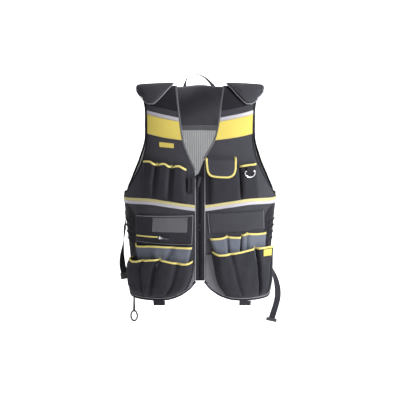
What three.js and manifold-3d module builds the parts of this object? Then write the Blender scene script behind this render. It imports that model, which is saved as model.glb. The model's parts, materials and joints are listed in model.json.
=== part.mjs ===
// A utility work vest, worn on nobody: padded shoulders, open V neck, zipped front, reflective bands and
// gathered tool pockets. Millimetres, +Z up. The origin is the shoulder seat, midway between the shoulders.
// The front faces -Y, and left and right are as seen from the front.
import * as THREE from "three";
import Module from "manifold-3d";
import { mergeVertices } from "three/addons/utils/BufferGeometryUtils.js";

// Driving sizes of the worn body
const VEST_LENGTH = 632; // shoulder seat to front hem
const HALF_WIDTH = 228; // zip to side, at the waist band
const FRONT_DEPTH = 125;
const BACK_DEPTH = 105;
const SHOULDER_DROP = 9; // how far the ridge falls towards the arm
const NECK_LIFT = 9; // how far the back neck stands above the ridge
const ROUNDNESS = 2.4; // exponent of the plan outline, 2 is an ellipse
const ARCH_SHARE = 0.3; // share of the length over which the shoulder arch closes

// Cloth walls and the gaps between layers
const PANEL_WALL = 3;
const YOKE_WALL = 5;
const MESH_WALL = 2;
const POCKET_WALL = 1.5;
const STRIP_WALL = 0.8;
const PAD_WALL = 7;
const FLAP_WALL = 2;
const WINDOW_WALL = 0.6;
const LAYER_GAP = 0.7;
const SEAM_GAP = 0.8;

// Bindings, bands and webbing
const RIM_GAP = 0.4;
const EDGE_BINDING_WIDTH = 4.5;
const POCKET_BINDING_WIDTH = 4.6;
const BINDING_PROUD = 0.7; // how far a binding stands over the wall it wraps, each side
const MOUTH_BINDING_INSET = 0.3; // how far a pocket's binding keeps off the panel behind it
const WAIST_YELLOW_WIDTH = 8.4;
const WAIST_SILVER_WIDTH = 9.2;
const CHEST_SILVER_WIDTH = 10.5;
const BAND_GAP = 0.5;
const ZIP_HALF_WIDTH = 14.1;
const ZIP_WALL = 2.2;
const ZIP_SEAM = 0.4; // free strip between the zip tape and a front panel
const WEBBING_WALL = 1.8;
const LOOP_WEBBING_WIDTH = 13;
const LOOP_SPAN = 90;
const LOOP_RISE = 40;
const STRAP_WIDTH = 20;
const HEM_TAB_WIDTH = 37;
const HEM_TAB_DROP = 15;
const HEM_TAB_WALL = 3.4;
const LACE_DIAMETER = 3;
const TAIL_WIDTH = 12;
const TAIL_LOOP_WIDTH = 20;
const TAIL_LOOP_LENGTH = 32;
const TAIL_LOOP_BAND = 7; // the folded band, in the loop's plane
const TAIL_LOOP_DEPTH = 4.9; // and square to it

// How far each pocket stands off the panel at its fullest
const TOOL_BULGE = 13;
const PEN_BULGE = 9;
const PHONE_BULGE = 12;
const RING_POCKET_BULGE = 11;
const PANEL_POCKET_BULGE = 3;
const MIDDLE_BULGE = 8;
const LOWER_BULGE = 22;

// Hardware
const RING_WIDTH = 35;
const RING_WIRE = 3.6;
const RING_STEPS = 10;
const RING_BEND = 3; // size of the corners between bar and bow
const RING_BOW = 0.9; // height of the bow as a share of half the ring's width
const RING_BORE_CLEARANCE = 0.6;
const RING_EYE_WALL = 1.3; // webbing round the ring's bar
const RING_TAB_WIDTH = 20;
const RING_TAB_LENGTH = 13;
const RING_TAB_WALL = 2;
const SLIDER_WIDTH = 9;
const SLIDER_LENGTH = 12;
const SLIDER_WALL = 3;
const BRIDGE_WALL = 1;
const BRIDGE_WIDTH = 2;
const PULL_LENGTH = 24;
const PULL_WIDTH = 7;
const PULL_WALL = 1.4;
const PULL_FRAME = 1.4; // metal left and right of the pull's window
const PULL_CLEARANCE = 0.7;
const STRAP_SLOT_CLEARANCE = 0.5; // free space round a strap in its buckle or end piece
const BUCKLE_WALL = 2.3;
const BUCKLE_LENGTH = 20;
const BUCKLE_REACH = 18; // how much of the strap's end lies in the buckle
const END_BAR_WIDTH = 33;
const END_BAR_LENGTH = 10;
const END_BAR_REACH = 9;

// The worn body, a row for each level: shares of the length, half width, front depth and back depth
const BODY = [
  { down: 0.0, half: 0.88, front: 0.86, back: 0.95 },
  { down: 0.15, half: 0.9, front: 0.87, back: 1.0 },
  { down: 0.25, half: 0.92, front: 0.9, back: 1.0 },
  { down: 0.35, half: 0.945, front: 0.96, back: 1.0 },
  { down: 0.42, half: 0.965, front: 0.98, back: 0.98 },
  { down: 0.52, half: 1.0, front: 1.0, back: 0.94 },
  { down: 0.55, half: 1.0, front: 0.995, back: 0.92 },
  { down: 0.6, half: 0.99, front: 0.985, back: 0.91 },
  { down: 0.68, half: 0.97, front: 0.97, back: 0.9 },
  { down: 0.76, half: 0.948, front: 0.965, back: 0.9 },
  { down: 0.835, half: 0.93, front: 0.97, back: 0.93 },
  { down: 0.9, half: 0.945, front: 0.98, back: 0.95 },
  { down: 1.02, half: 0.968, front: 1.0, back: 1.0 },
];

// The V neck, as shares of the half width from the zip; below it the panels run beside the zip
const NECKLINE = [
  { down: 0.0, left: 0.325, right: 0.322 },
  { down: 0.07, left: 0.299, right: 0.286 },
  { down: 0.13, left: 0.277, right: 0.263 },
  { down: 0.19, left: 0.254, right: 0.232 },
  { down: 0.24, left: 0.23, right: 0.193 },
  { down: 0.3, left: 0.173, right: 0.1 },
  { down: 0.325, left: 0.142, right: 0.06 },
  { down: 0.365, left: 0.09, right: 0.03 },
  { down: 0.39, left: 0.06, right: 0 },
  { down: 0.45, left: 0, right: 0 },
];

// The armhole and then the side seam, as shares of the half width
const FRONT_SIDE = [
  { down: 0.0, edge: 0.765 },
  { down: 0.03, edge: 0.745 },
  { down: 0.089, edge: 0.69 },
  { down: 0.152, edge: 0.676 },
  { down: 0.231, edge: 0.672 },
  { down: 0.271, edge: 0.684 },
  { down: 0.32, edge: 0.712 },
  { down: 0.356, edge: 0.75 },
  { down: 0.399, edge: 0.806 },
  { down: 0.441, edge: 0.868 },
  { down: 0.48, edge: 0.925 },
  { down: 0.51, edge: 0.968 },
  { down: 0.545, edge: 0.955 },
  { down: 0.58, edge: 0.87 },
  { down: 0.61, edge: 0.84 },
  { down: 0.7, edge: 0.84 },
  { down: 0.77, edge: 0.86 },
  { down: 0.82, edge: 0.912 },
  { down: 0.9, edge: 0.93 },
  { down: 1.02, edge: 0.94 },
];
const BACK_SIDE = [
  { down: 0.0, edge: 0.765 },
  { down: 0.05, edge: 0.745 },
  { down: 0.12, edge: 0.72 },
  { down: 0.25, edge: 0.73 },
  { down: 0.35, edge: 0.8 },
  { down: 0.45, edge: 0.91 },
  { down: 0.51, edge: 0.968 },
  { down: 0.6, edge: 0.93 },
  { down: 1.02, edge: 0.92 },
];
const UNDERARM = 0.51; // level of the foot of the armhole
const YOKE_FOOT = 0.2; // level of the seam under the padded back yoke
const NECK_BINDING_END = { left: 0.382, right: 0.325 };
const ZIP_TOP = 0.392;
const ZIP_FOOT = 0.9;
const BACK_HEM = 0.94;

// The back neckline, by share of the yoke's half width
const BACK_NECK = [
  { share: 0.0, down: 0.017 },
  { share: 0.2, down: 0.015 },
  { share: 0.34, down: 0.008 },
  { share: 0.42, down: 0.0012 },
  { share: 1.0, down: 0.0 },
];

// The front hem with its rounded corners, from the zip (0) to the side seam (1)
const FRONT_HEM = [
  { share: 0.0, down: 0.902 },
  { share: 0.05, down: 0.937 },
  { share: 0.155, down: 0.972 },
  { share: 0.28, down: 0.99 },
  { share: 0.45, down: 0.996 },
  { share: 0.62, down: 0.997 },
  { share: 0.85, down: 0.995 },
  { share: 0.94, down: 0.985 },
  { share: 1.0, down: 0.96 },
];
const HEM_START = 0.85; // below this level the rows bend to the hem

// The top of the waist band, by angle round the body in quarter turns from the zip
const WAIST_TOP = [
  { quarter: 0.0, down: 0.5405 },
  { quarter: 0.21, down: 0.523 },
  { quarter: 0.42, down: 0.513 },
  { quarter: 0.8, down: 0.52 },
  { quarter: 1.0, down: 0.522 },
  { quarter: 2.0, down: 0.522 },
];

// The top of the chest's silver strip and the foot of the yellow panel, from neckline (0) to armhole (1)
const CHEST_BAND = [
  { share: 0.0, silver: 0.138, foot: 0.24 },
  { share: 0.5, silver: 0.122, foot: 0.228 },
  { share: 1.0, silver: 0.105, foot: 0.213 },
];

const NEAR_RIDGE = 0.0012; // smallest rise, which keeps front and back apart at the ridge

/** A table's column at a key, smoothly and without overshoot. */
function follow(table, key, column, at) {
  const last = table.length - 1;
  if (at <= table[0][key]) return table[0][column];
  if (at >= table[last][key]) return table[last][column];
  const i = table.findIndex((row) => row[key] > at) - 1;
  const span = (k) => table[k + 1][key] - table[k][key];
  const secant = (k) => (table[k + 1][column] - table[k][column]) / span(k);
  const slope = (k) => {
    if (k === 0) return secant(0);
    if (k === last) return secant(last - 1);
    const before = secant(k - 1);
    const after = secant(k);
    return before * after <= 0 ? 0 : (2 * before * after) / (before + after);
  };
  const width = span(i);
  const t = (at - table[i][key]) / width;
  const start = table[i][column] * (1 + 2 * t) * (1 - t) ** 2 + slope(i) * width * t * (1 - t) ** 2;
  const end = table[i + 1][column] * t * t * (3 - 2 * t) + slope(i + 1) * width * t * t * (t - 1);
  return start + end;
}

const mix = (a, b, t) => a + (b - a) * t;
const spread = (count) => Array.from({ length: count + 1 }, (_, i) => i / count);
const power = (value, exponent) => Math.sign(value) * Math.abs(value) ** exponent;
const quarterRound = (q) => Math.sqrt(1 - (1 - Math.min(1, Math.max(0, q))) ** 2);

const halfAt = (down) => HALF_WIDTH * follow(BODY, "down", "half", down);
const archAt = (down) => quarterRound(down / ARCH_SHARE);

/** The angle from the zip, round the body, of a share of the half width on the front. */
const frontAngle = (across, down) =>
  Math.asin(Math.min(1, (across * HALF_WIDTH) / halfAt(down)) ** (ROUNDNESS / 2));
const backAngle = (across, down) => Math.PI - frontAngle(across, down);

/** The inner edge of a front panel, along the neck and then the zip, as a share of the half width. */
const innerEdge = (name, down) =>
  Math.max(follow(NECKLINE, "down", name, down), (ZIP_HALF_WIDTH + ZIP_SEAM) / HALF_WIDTH);

/** A point of the body: the angle runs from the zip (0) by the side to the middle of the back (pi). */
function bodyPoint(angle, rise) {
  const down = rise * rise;
  const x = halfAt(down) * power(Math.sin(angle), 2 / ROUNDNESS);
  const turn = Math.cos(angle);
  const front = turn >= 0;
  const depth = front ? -FRONT_DEPTH : BACK_DEPTH;
  const deep = depth * follow(BODY, "down", front ? "front" : "back", down) * archAt(down);
  const y = deep * Math.abs(turn) ** (2 / ROUNDNESS);
  const fade = Math.max(0, 1 - down / ARCH_SHARE) ** 2;
  const lift = front ? 0 : NECK_LIFT * Math.exp(-((x / (0.2 * HALF_WIDTH)) ** 2));
  const drop = SHOULDER_DROP * (x / HALF_WIDTH) ** 2;
  return new THREE.Vector3(x, y, fade * (lift - drop) - VEST_LENGTH * down);
}

/** The body's outward normal. */
function bodyNormal(angle, rise) {
  const turn = 0.004;
  const step = 0.003;
  const round = bodyPoint(angle + turn, rise).sub(bodyPoint(angle - turn, rise));
  const along = bodyPoint(angle, rise + step).sub(bodyPoint(angle, Math.max(NEAR_RIDGE, rise - step)));
  const normal = round.cross(along).normalize();
  const outward = bodyPoint(angle, rise).add(new THREE.Vector3(0, 0, 0.4 * VEST_LENGTH));
  return normal.dot(outward) < 0 ? normal.negate() : normal;
}

/** A point a given way out from the body, on the left (-1) or the right (1). */
function skin(side, angle, down, out) {
  const rise = Math.sqrt(Math.max(down, NEAR_RIDGE ** 2));
  const point = bodyPoint(angle, rise).addScaledVector(bodyNormal(angle, rise), out);
  point.x *= side;
  return point;
}

/** The body's outward normal on the left (-1) or the right (1). */
function skinNormal(side, angle, down) {
  const normal = bodyNormal(angle, Math.sqrt(Math.max(down, NEAR_RIDGE ** 2)));
  normal.x *= side;
  return normal;
}

/** A closed geometry from points and triangles, turned so that its faces point out. */
function closedGeometry(points, triangles) {
  let volume = 0;
  for (const [a, b, c] of triangles) volume += points[a].dot(points[b].clone().cross(points[c]));
  const faces = volume < 0 ? triangles.map(([a, b, c]) => [a, c, b]) : triangles;
  const geometry = new THREE.BufferGeometry().setFromPoints(points);
  geometry.setIndex(faces.flat());
  geometry.computeVertexNormals();
  return geometry;
}

/**
 * Cloth over the body: a grid of its middle, and the wall thickened either side of it. The lift is how far
 * its inner face stands off the body, one number or a function of (u, v).
 */
class Cloth {
  constructor({ side = 1, columns, rows, where, lift = 0, wall }) {
    this.level = typeof lift === "number";
    Object.assign(this, { side, columns, rows, where, lift: this.level ? () => lift : lift, wall });
    this.middle = rows.map((v) => columns.map((u) => this.at(u, v, wall / 2)));
    this.normals = this.middle.map((row, r) => row.map((_, c) => this.normalAt(r, c)));
  }

  /** A point over the cloth's inner face at (u, v). */
  at(u, v, out) {
    const { angle, down } = this.where(u, v);
    return skin(this.side, angle, down, this.lift(u, v) + out);
  }

  normalAt(r, c) {
    const { middle, rows, columns } = this;
    const { angle, down } = this.where(columns[c], rows[r]);
    const bodyWay = skinNormal(this.side, angle, down);
    if (this.level) return bodyWay;
    const across = middle[r][Math.min(c + 1, columns.length - 1)].clone().sub(middle[r][Math.max(c - 1, 0)]);
    const along = middle[Math.min(r + 1, rows.length - 1)][c].clone().sub(middle[Math.max(r - 1, 0)][c]);
    const normal = across.cross(along).normalize();
    return normal.dot(bodyWay) < 0 ? normal.negate() : normal;
  }

  geometry() {
    const wide = this.columns.length;
    const high = this.rows.length;
    const sheet = (sign) =>
      this.middle.flatMap((row, r) =>
        row.map((point, c) => point.clone().addScaledVector(this.normals[r][c], (sign * this.wall) / 2)),
      );
    const points = [...sheet(1), ...sheet(-1)];
    const inner = wide * high;
    const triangles = [];
    const quad = (a, b, c, d) => triangles.push([a, b, c], [a, c, d]);
    for (let r = 0; r + 1 < high; r++)
      for (let c = 0; c + 1 < wide; c++) {
        const a = r * wide + c;
        quad(a, a + 1, a + wide + 1, a + wide);
        quad(inner + a, inner + a + wide, inner + a + wide + 1, inner + a + 1);
      }
    for (let c = 0; c + 1 < wide; c++) {
      const foot = (high - 1) * wide + c;
      quad(c, inner + c, inner + c + 1, c + 1);
      quad(foot, foot + 1, inner + foot + 1, inner + foot);
    }
    for (let r = 0; r + 1 < high; r++) {
      const a = r * wide;
      const b = a + wide - 1;
      quad(a, a + wide, inner + a + wide, inner + a);
      quad(b, inner + b, inner + b + wide, b + wide);
    }
    return closedGeometry(points, triangles);
  }

  /** An edge as stations for a rim: point, way off the edge, and normal. */
  edge(name) {
    const lastRow = this.rows.length - 1;
    const lastColumn = this.columns.length - 1;
    const station = (r, c, innerR, innerC) => ({
      point: this.middle[r][c],
      away: this.middle[r][c].clone().sub(this.middle[innerR][innerC]),
      normal: this.normals[r][c],
    });
    if (name === "top") return this.columns.map((_, c) => station(0, c, 1, c));
    if (name === "foot") return this.columns.map((_, c) => station(lastRow, c, lastRow - 1, c));
    if (name === "inner") return this.rows.map((_, r) => station(r, 0, r, 1));
    return this.rows.map((_, r) => station(r, lastColumn, r, lastColumn - 1));
  }
}

/** One closed body through rings of equally many points, joined end to end or capped. */
function bodyOfRings(rings, closed) {
  const size = rings[0].length;
  const triangles = [];
  const count = rings.length;
  for (let r = 0; r < (closed ? count : count - 1); r++)
    for (let i = 0; i < size; i++) {
      const a = r * size + i;
      const b = r * size + ((i + 1) % size);
      const next = ((r + 1) % count) * size;
      triangles.push([a, b, next + ((i + 1) % size)], [a, next + ((i + 1) % size), next + i]);
    }
  if (!closed)
    for (let i = 1; i + 1 < size; i++) {
      const end = (count - 1) * size;
      triangles.push([0, i + 1, i], [end, end + i, end + i + 1]);
    }
  return closedGeometry(rings.flat(), triangles);
}

/** The way a line of points runs at one of them. */
function tangentAt(points, i, closed) {
  const count = points.length;
  const before = closed ? (i + count - 1) % count : Math.max(0, i - 1);
  const after = closed ? (i + 1) % count : Math.min(count - 1, i + 1);
  return points[after].clone().sub(points[before]).normalize();
}

/** A binding along the edge of one or more cloths, proud of the wall outside and, unless told, inside. */
function rim(stations, { gap = RIM_GAP, width, wall, inside = BINDING_PROUD, closed = false }) {
  const points = stations.map((s) => s.point);
  const rings = stations.map(({ point, away, normal }, i) => {
    const off = tangentAt(points, i, closed).cross(normal).normalize();
    if (off.dot(away) < 0) off.negate();
    const corner = (out, up) => point.clone().addScaledVector(off, out).addScaledVector(normal, up);
    const under = -wall / 2 - inside;
    const over = wall / 2 + BINDING_PROUD;
    return [corner(gap, under), corner(gap + width, under), corner(gap + width, over), corner(gap, over)];
  });
  return bodyOfRings(rings, closed);
}

/** Webbing or cord along points, with the way its width runs at each. */
function ribbon(points, widthWays, width, wall, sides = 4, closed = false) {
  const rings = points.map((point, i) => {
    const along = tangentAt(points, i, closed);
    const thick = along.clone().cross(widthWays[i]).normalize();
    const wide = thick.clone().cross(along).normalize();
    return Array.from({ length: sides }, (_, k) => {
      const turn = ((k + 0.5) / sides) * 2 * Math.PI;
      const reach = sides === 4 ? Math.SQRT2 : 1;
      return point
        .clone()
        .addScaledVector(wide, (reach * Math.cos(turn) * width) / 2)
        .addScaledVector(thick, (reach * Math.sin(turn) * wall) / 2);
    });
  });
  return bodyOfRings(rings, closed);
}

const wasm = await Module();
wasm.setup();

/** A geometry as a solid for joining and cutting. */
function solidOf(geometry) {
  const bare = geometry.clone();
  for (const name of Object.keys(bare.attributes)) if (name !== "position") bare.deleteAttribute(name);
  const merged = mergeVertices(bare, 1e-4);
  return new wasm.Manifold(
    new wasm.Mesh({
      numProp: 3,
      vertProperties: new Float32Array(merged.attributes.position.array),
      triVerts: new Uint32Array(merged.index.array),
    }),
  );
}

/** Joins two overlapping geometries into one body. */
function joined(first, second) {
  const { vertProperties, triVerts } = solidOf(first).add(solidOf(second)).getMesh();
  const geometry = new THREE.BufferGeometry();
  geometry.setAttribute("position", new THREE.BufferAttribute(vertProperties, 3));
  geometry.setIndex(new THREE.BufferAttribute(triVerts, 1));
  geometry.computeVertexNormals();
  return geometry;
}

/** A flat outline with optional holes, given a thickness centred on its plane. */
function plate(outline, thickness, holes = []) {
  const shape = new THREE.Shape(outline);
  shape.holes = holes.map((hole) => new THREE.Path(hole));
  const settings = { depth: thickness, bevelEnabled: false, curveSegments: 10 };
  return new THREE.ExtrudeGeometry(shape, settings).translate(0, 0, -thickness / 2);
}

const rectangle = (x0, y0, x1, y1) => [
  new THREE.Vector2(x0, y0),
  new THREE.Vector2(x1, y0),
  new THREE.Vector2(x1, y1),
  new THREE.Vector2(x0, y1),
];

const MATERIALS = {
  black_cloth: { color: 0x2f2e33, roughness: 0.85, metalness: 0 },
  dark_mesh: { color: 0x1d1d21, roughness: 0.9, metalness: 0 },
  grey_mesh: { color: 0x8a8b8d, roughness: 0.85, metalness: 0 },
  grey_cloth: { color: 0x6d7079, roughness: 0.8, metalness: 0 },
  yellow_cloth: { color: 0xedd35f, roughness: 0.75, metalness: 0 },
  yellow_binding: { color: 0xe8d070, roughness: 0.7, metalness: 0 },
  black_binding: { color: 0x26262a, roughness: 0.8, metalness: 0 },
  silver_reflective: { color: 0xc6c3cc, roughness: 0.45, metalness: 0.1 },
  webbing: { color: 0x2a2a2d, roughness: 0.75, metalness: 0 },
  clear_window: { color: 0x6a6b72, roughness: 0.25, metalness: 0 },
  zip_tape: { color: 0x232328, roughness: 0.7, metalness: 0 },
  metal: { color: 0xc8c8cc, roughness: 0.3, metalness: 1 },
  black_plastic: { color: 0x151517, roughness: 0.45, metalness: 0 },
};
const finishes = Object.fromEntries(
  Object.entries(MATERIALS).map(([name, look]) => [name, new THREE.MeshStandardMaterial({ name, ...look })]),
);

const vest = new THREE.Group();

/** Adds a named piece to the vest, or to a group in it. */
function add(name, geometry, finish, parent = vest) {
  const mesh = new THREE.Mesh(geometry, finishes[finish]);
  mesh.name = name;
  parent.add(mesh);
  return mesh;
}

const SIDES = [
  { side: -1, name: "left" },
  { side: 1, name: "right" },
];
const LEFT = -1;
const RIGHT = 1;
const OVER_PANEL = PANEL_WALL + LAYER_GAP;

// Levels shared by the panels that meet at the side seams
const CHEST_LEVELS = [0.012, 0.034, 0.065, 0.105, 0.152, 0.2, 0.26, 0.325, 0.382, 0.43, 0.475];
const ARM_LEVELS = [NEAR_RIDGE ** 2, ...CHEST_LEVELS, UNDERARM];
const SIDE_LEVELS = [0.545, 0.58, 0.61, 0.69, 0.77, 0.82, HEM_START];
const HEM_STEPS = [0.4, 0.75, 1];

/** Level of a row that follows the shared levels and then bends to a hem. */
function levelOf(levels, row, hem) {
  if (row < levels.length) return levels[row];
  return mix(HEM_START, hem, HEM_STEPS[row - levels.length]);
}

const frontLevels = [...ARM_LEVELS, ...SIDE_LEVELS];
const frontColumns = [0, 0.05, 0.155, 0.3, 0.48, 0.66, 0.84, 0.94, 1];

/** The front panel from shoulder to hem, between neckline or zip and armhole or side seam. */
function frontPanel(side, name) {
  return new Cloth({
    side,
    columns: frontColumns,
    rows: Array.from({ length: frontLevels.length + HEM_STEPS.length }, (_, i) => i),
    where: (u, row) => {
      const down = levelOf(frontLevels, row, follow(FRONT_HEM, "share", "down", u));
      const inner = frontAngle(innerEdge(name, down), down);
      const outer = frontAngle(follow(FRONT_SIDE, "down", "edge", down), down);
      return { angle: mix(inner, outer, u), down };
    },
    wall: PANEL_WALL,
  });
}

/** A panel right across the back, between two levels. */
function backPiece(columns, rows, levelAt, wall) {
  return new Cloth({
    columns,
    rows,
    where: (u, v) => {
      const down = levelAt(u, v);
      const edge = backAngle(follow(BACK_SIDE, "down", "edge", down), down);
      return { angle: mix(edge, 2 * Math.PI - edge, u), down };
    },
    wall,
  });
}

/** The side panel, from the front seam round to the back seam. */
function sidePanel(side) {
  const levels = [UNDERARM + SEAM_GAP / VEST_LENGTH, ...SIDE_LEVELS];
  return new Cloth({
    side,
    columns: spread(5),
    rows: Array.from({ length: levels.length + HEM_STEPS.length }, (_, i) => i),
    where: (u, row) => {
      const hem = mix(follow(FRONT_HEM, "share", "down", 1), BACK_HEM, u);
      const down = levelOf(levels, row, hem);
      const seam = SEAM_GAP / HALF_WIDTH;
      const front = frontAngle(follow(FRONT_SIDE, "down", "edge", down), down) + seam;
      const back = backAngle(follow(BACK_SIDE, "down", "edge", down), down) - seam;
      return { angle: mix(front, back, u), down };
    },
    wall: MESH_WALL,
  });
}

const yokeColumns = [0, 0.08, 0.16, 0.24, 0.29, 0.33, 0.4, 0.5, 0.6, 0.67, 0.71, 0.76, 0.84, 0.92, 1];
const backNeckAt = (u) => Math.max(NEAR_RIDGE ** 2, follow(BACK_NECK, "share", "down", Math.abs(1 - 2 * u)));
const yokeLevel = (u, v) => mix(backNeckAt(u), YOKE_FOOT, v ** 1.6);
const backYoke = backPiece(yokeColumns, spread(7), yokeLevel, YOKE_WALL);
const backTop = YOKE_FOOT + SEAM_GAP / VEST_LENGTH;
const backLevels = [backTop, 0.26, 0.325, 0.382, 0.43, 0.475, UNDERARM, ...SIDE_LEVELS];
const backPanel = backPiece(
  spread(10),
  Array.from({ length: backLevels.length + HEM_STEPS.length }, (_, i) => i),
  (u, row) => levelOf(backLevels, row, BACK_HEM),
  MESH_WALL,
);
add("back_yoke", backYoke.geometry(), "black_cloth");
add("back_panel", backPanel.geometry(), "grey_mesh");

const fronts = {};
const sidePanels = {};
for (const { side, name } of SIDES) {
  fronts[name] = frontPanel(side, name);
  sidePanels[name] = sidePanel(side);
  add(`front_panel_${name}`, fronts[name].geometry(), "black_cloth");
  add(`side_panel_${name}`, sidePanels[name].geometry(), "dark_mesh");
}

// Bindings that run along several panels
const neckRows = (name) => frontLevels.indexOf(NECK_BINDING_END[name]) + 1;
const neckEdge = (name) => fronts[name].edge("inner").slice(0, neckRows(name));
const neckStations = [
  ...neckEdge("left").reverse(),
  ...backYoke.edge("top").slice(4, -4).reverse(),
  ...neckEdge("right"),
];
const binding = { width: EDGE_BINDING_WIDTH, wall: PANEL_WALL };
add("neck_binding", rim(neckStations, binding), "black_binding");

for (const { name } of SIDES) {
  const far = name === "right" ? "inner" : "outer";
  const back = [...backYoke.edge(far), ...backPanel.edge(far).slice(1, backLevels.indexOf(UNDERARM))];
  const stations = [
    ...fronts[name].edge("outer").slice(0, frontLevels.indexOf(UNDERARM)),
    ...sidePanels[name].edge("top").slice(1, -1),
    ...back.reverse(),
  ];
  add(`armhole_binding_${name}`, rim(stations, { ...binding, closed: true }), "black_binding");
}

const hemStations = [
  ...fronts.left.edge("foot"),
  ...sidePanels.left.edge("foot").slice(1, -1),
  ...backPanel.edge("foot").reverse(),
  ...sidePanels.right.edge("foot").slice(1, -1).reverse(),
  ...fronts.right.edge("foot").reverse(),
];
add("hem_binding", rim(hemStations, binding), "black_binding");

/** The padded shoulder, over the ridge from front to back, as wide as the flap in front. */
function shoulderPad(side) {
  const reach = 0.283; // rise of the pad's front and back edges
  const outline = [
    { rise: 0.0, inner: 0.335, outer: 0.826 },
    { rise: 0.3, inner: 0.372, outer: 0.826 },
    { rise: 0.5, inner: 0.415, outer: 0.815 },
    { rise: 0.7, inner: 0.468, outer: 0.78 },
    { rise: 0.85, inner: 0.52, outer: 0.735 },
    { rise: 0.95, inner: 0.565, outer: 0.69 },
    { rise: 1.0, inner: 0.6, outer: 0.65 },
  ];
  const rises = [0.17, 0.33, 0.5, 0.7, 0.85, 0.95, 1];
  return new Cloth({
    side,
    columns: [0, 0.12, 0.3, 0.5, 0.7, 0.88, 1],
    rows: [...rises.toReversed().map((rise) => -rise), 0, ...rises],
    where: (u, v) => {
      const down = (reach * v) ** 2;
      const inner = follow(outline, "rise", "inner", Math.abs(v));
      const outer = follow(outline, "rise", "outer", Math.abs(v));
      const across = mix(inner, outer, u);
      return { angle: v < 0 ? frontAngle(across, down) : backAngle(across, down), down };
    },
    lift: YOKE_WALL + LAYER_GAP,
    wall: PAD_WALL,
  });
}
for (const { side, name } of SIDES) add(`shoulder_pad_${name}`, shoulderPad(side).geometry(), "black_cloth");

/** A flat piece on the chest between neckline and armhole, between two levels. */
function chestPiece(side, name, top, foot) {
  const edge = BAND_GAP / HALF_WIDTH;
  return new Cloth({
    side,
    columns: spread(6),
    rows: spread(2),
    where: (u, v) => {
      const down = mix(top(u), foot(u), v);
      const inner = frontAngle(innerEdge(name, down) + edge, down);
      const outer = frontAngle(follow(FRONT_SIDE, "down", "edge", down) - edge, down);
      return { angle: mix(inner, outer, u), down };
    },
    lift: OVER_PANEL,
    wall: STRIP_WALL,
  });
}
const chestTop = (u) => follow(CHEST_BAND, "share", "silver", u);
const silverFoot = (u) => chestTop(u) + CHEST_SILVER_WIDTH / VEST_LENGTH;
const yellowTop = (u) => silverFoot(u) + BAND_GAP / VEST_LENGTH;
const yellowFoot = (u) => follow(CHEST_BAND, "share", "foot", u);
for (const { side, name } of SIDES) {
  add(`chest_silver_${name}`, chestPiece(side, name, chestTop, silverFoot).geometry(), "silver_reflective");
  add(`chest_yellow_${name}`, chestPiece(side, name, yellowTop, yellowFoot).geometry(), "yellow_cloth");
}

/** Level of the waist band's top at an angle round the body. */
function waistTop(angle) {
  const quarter = Math.min(angle, 2 * Math.PI - angle) / (Math.PI / 2);
  return follow(WAIST_TOP, "quarter", "down", quarter);
}

/** A band round the waist from one side of the zip to the other. */
function waistBand(start, width) {
  return new Cloth({
    columns: spread(40),
    rows: [0, 1],
    where: (u, v) => {
      const first = frontAngle((ZIP_HALF_WIDTH + ZIP_SEAM) / HALF_WIDTH, UNDERARM);
      const angle = mix(first, 2 * Math.PI - first, u);
      return { angle, down: waistTop(angle) + (start + v * width) / VEST_LENGTH };
    },
    lift: OVER_PANEL,
    wall: STRIP_WALL,
  });
}
const yellowBand = waistBand(0, WAIST_YELLOW_WIDTH);
add("waist_band_yellow", yellowBand.geometry(), "yellow_cloth");
const silverBand = waistBand(WAIST_YELLOW_WIDTH + BAND_GAP, WAIST_SILVER_WIDTH);
add("waist_band_silver", silverBand.geometry(), "silver_reflective");

// The zip, whose right tape runs on up the right neckline
const ZIP_EDGE = [
  { down: 0.33, left: -0.8 },
  { down: 0.352, left: -0.4 },
  { down: 0.378, left: 0.05 },
  { down: ZIP_TOP, left: 0.3 },
  { down: 0.402, left: 1 },
  { down: ZIP_FOOT, left: 1 },
];
const frontZip = new Cloth({
  columns: spread(3),
  rows: ZIP_EDGE.slice(0, -1)
    .map((row) => row.down)
    .concat([0.46, 0.53, 0.6, 0.68, 0.76, 0.83, ZIP_FOOT]),
  where: (u, down) => {
    const share = ZIP_HALF_WIDTH / HALF_WIDTH;
    const across = mix(-share * follow(ZIP_EDGE, "down", "left", down), share, u);
    return { angle: Math.sign(across) * frontAngle(Math.abs(across), down), down };
  },
  lift: (PANEL_WALL - ZIP_WALL) / 2,
  wall: ZIP_WALL,
});
add("front_zip", frontZip.geometry(), "zip_tape");

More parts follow.
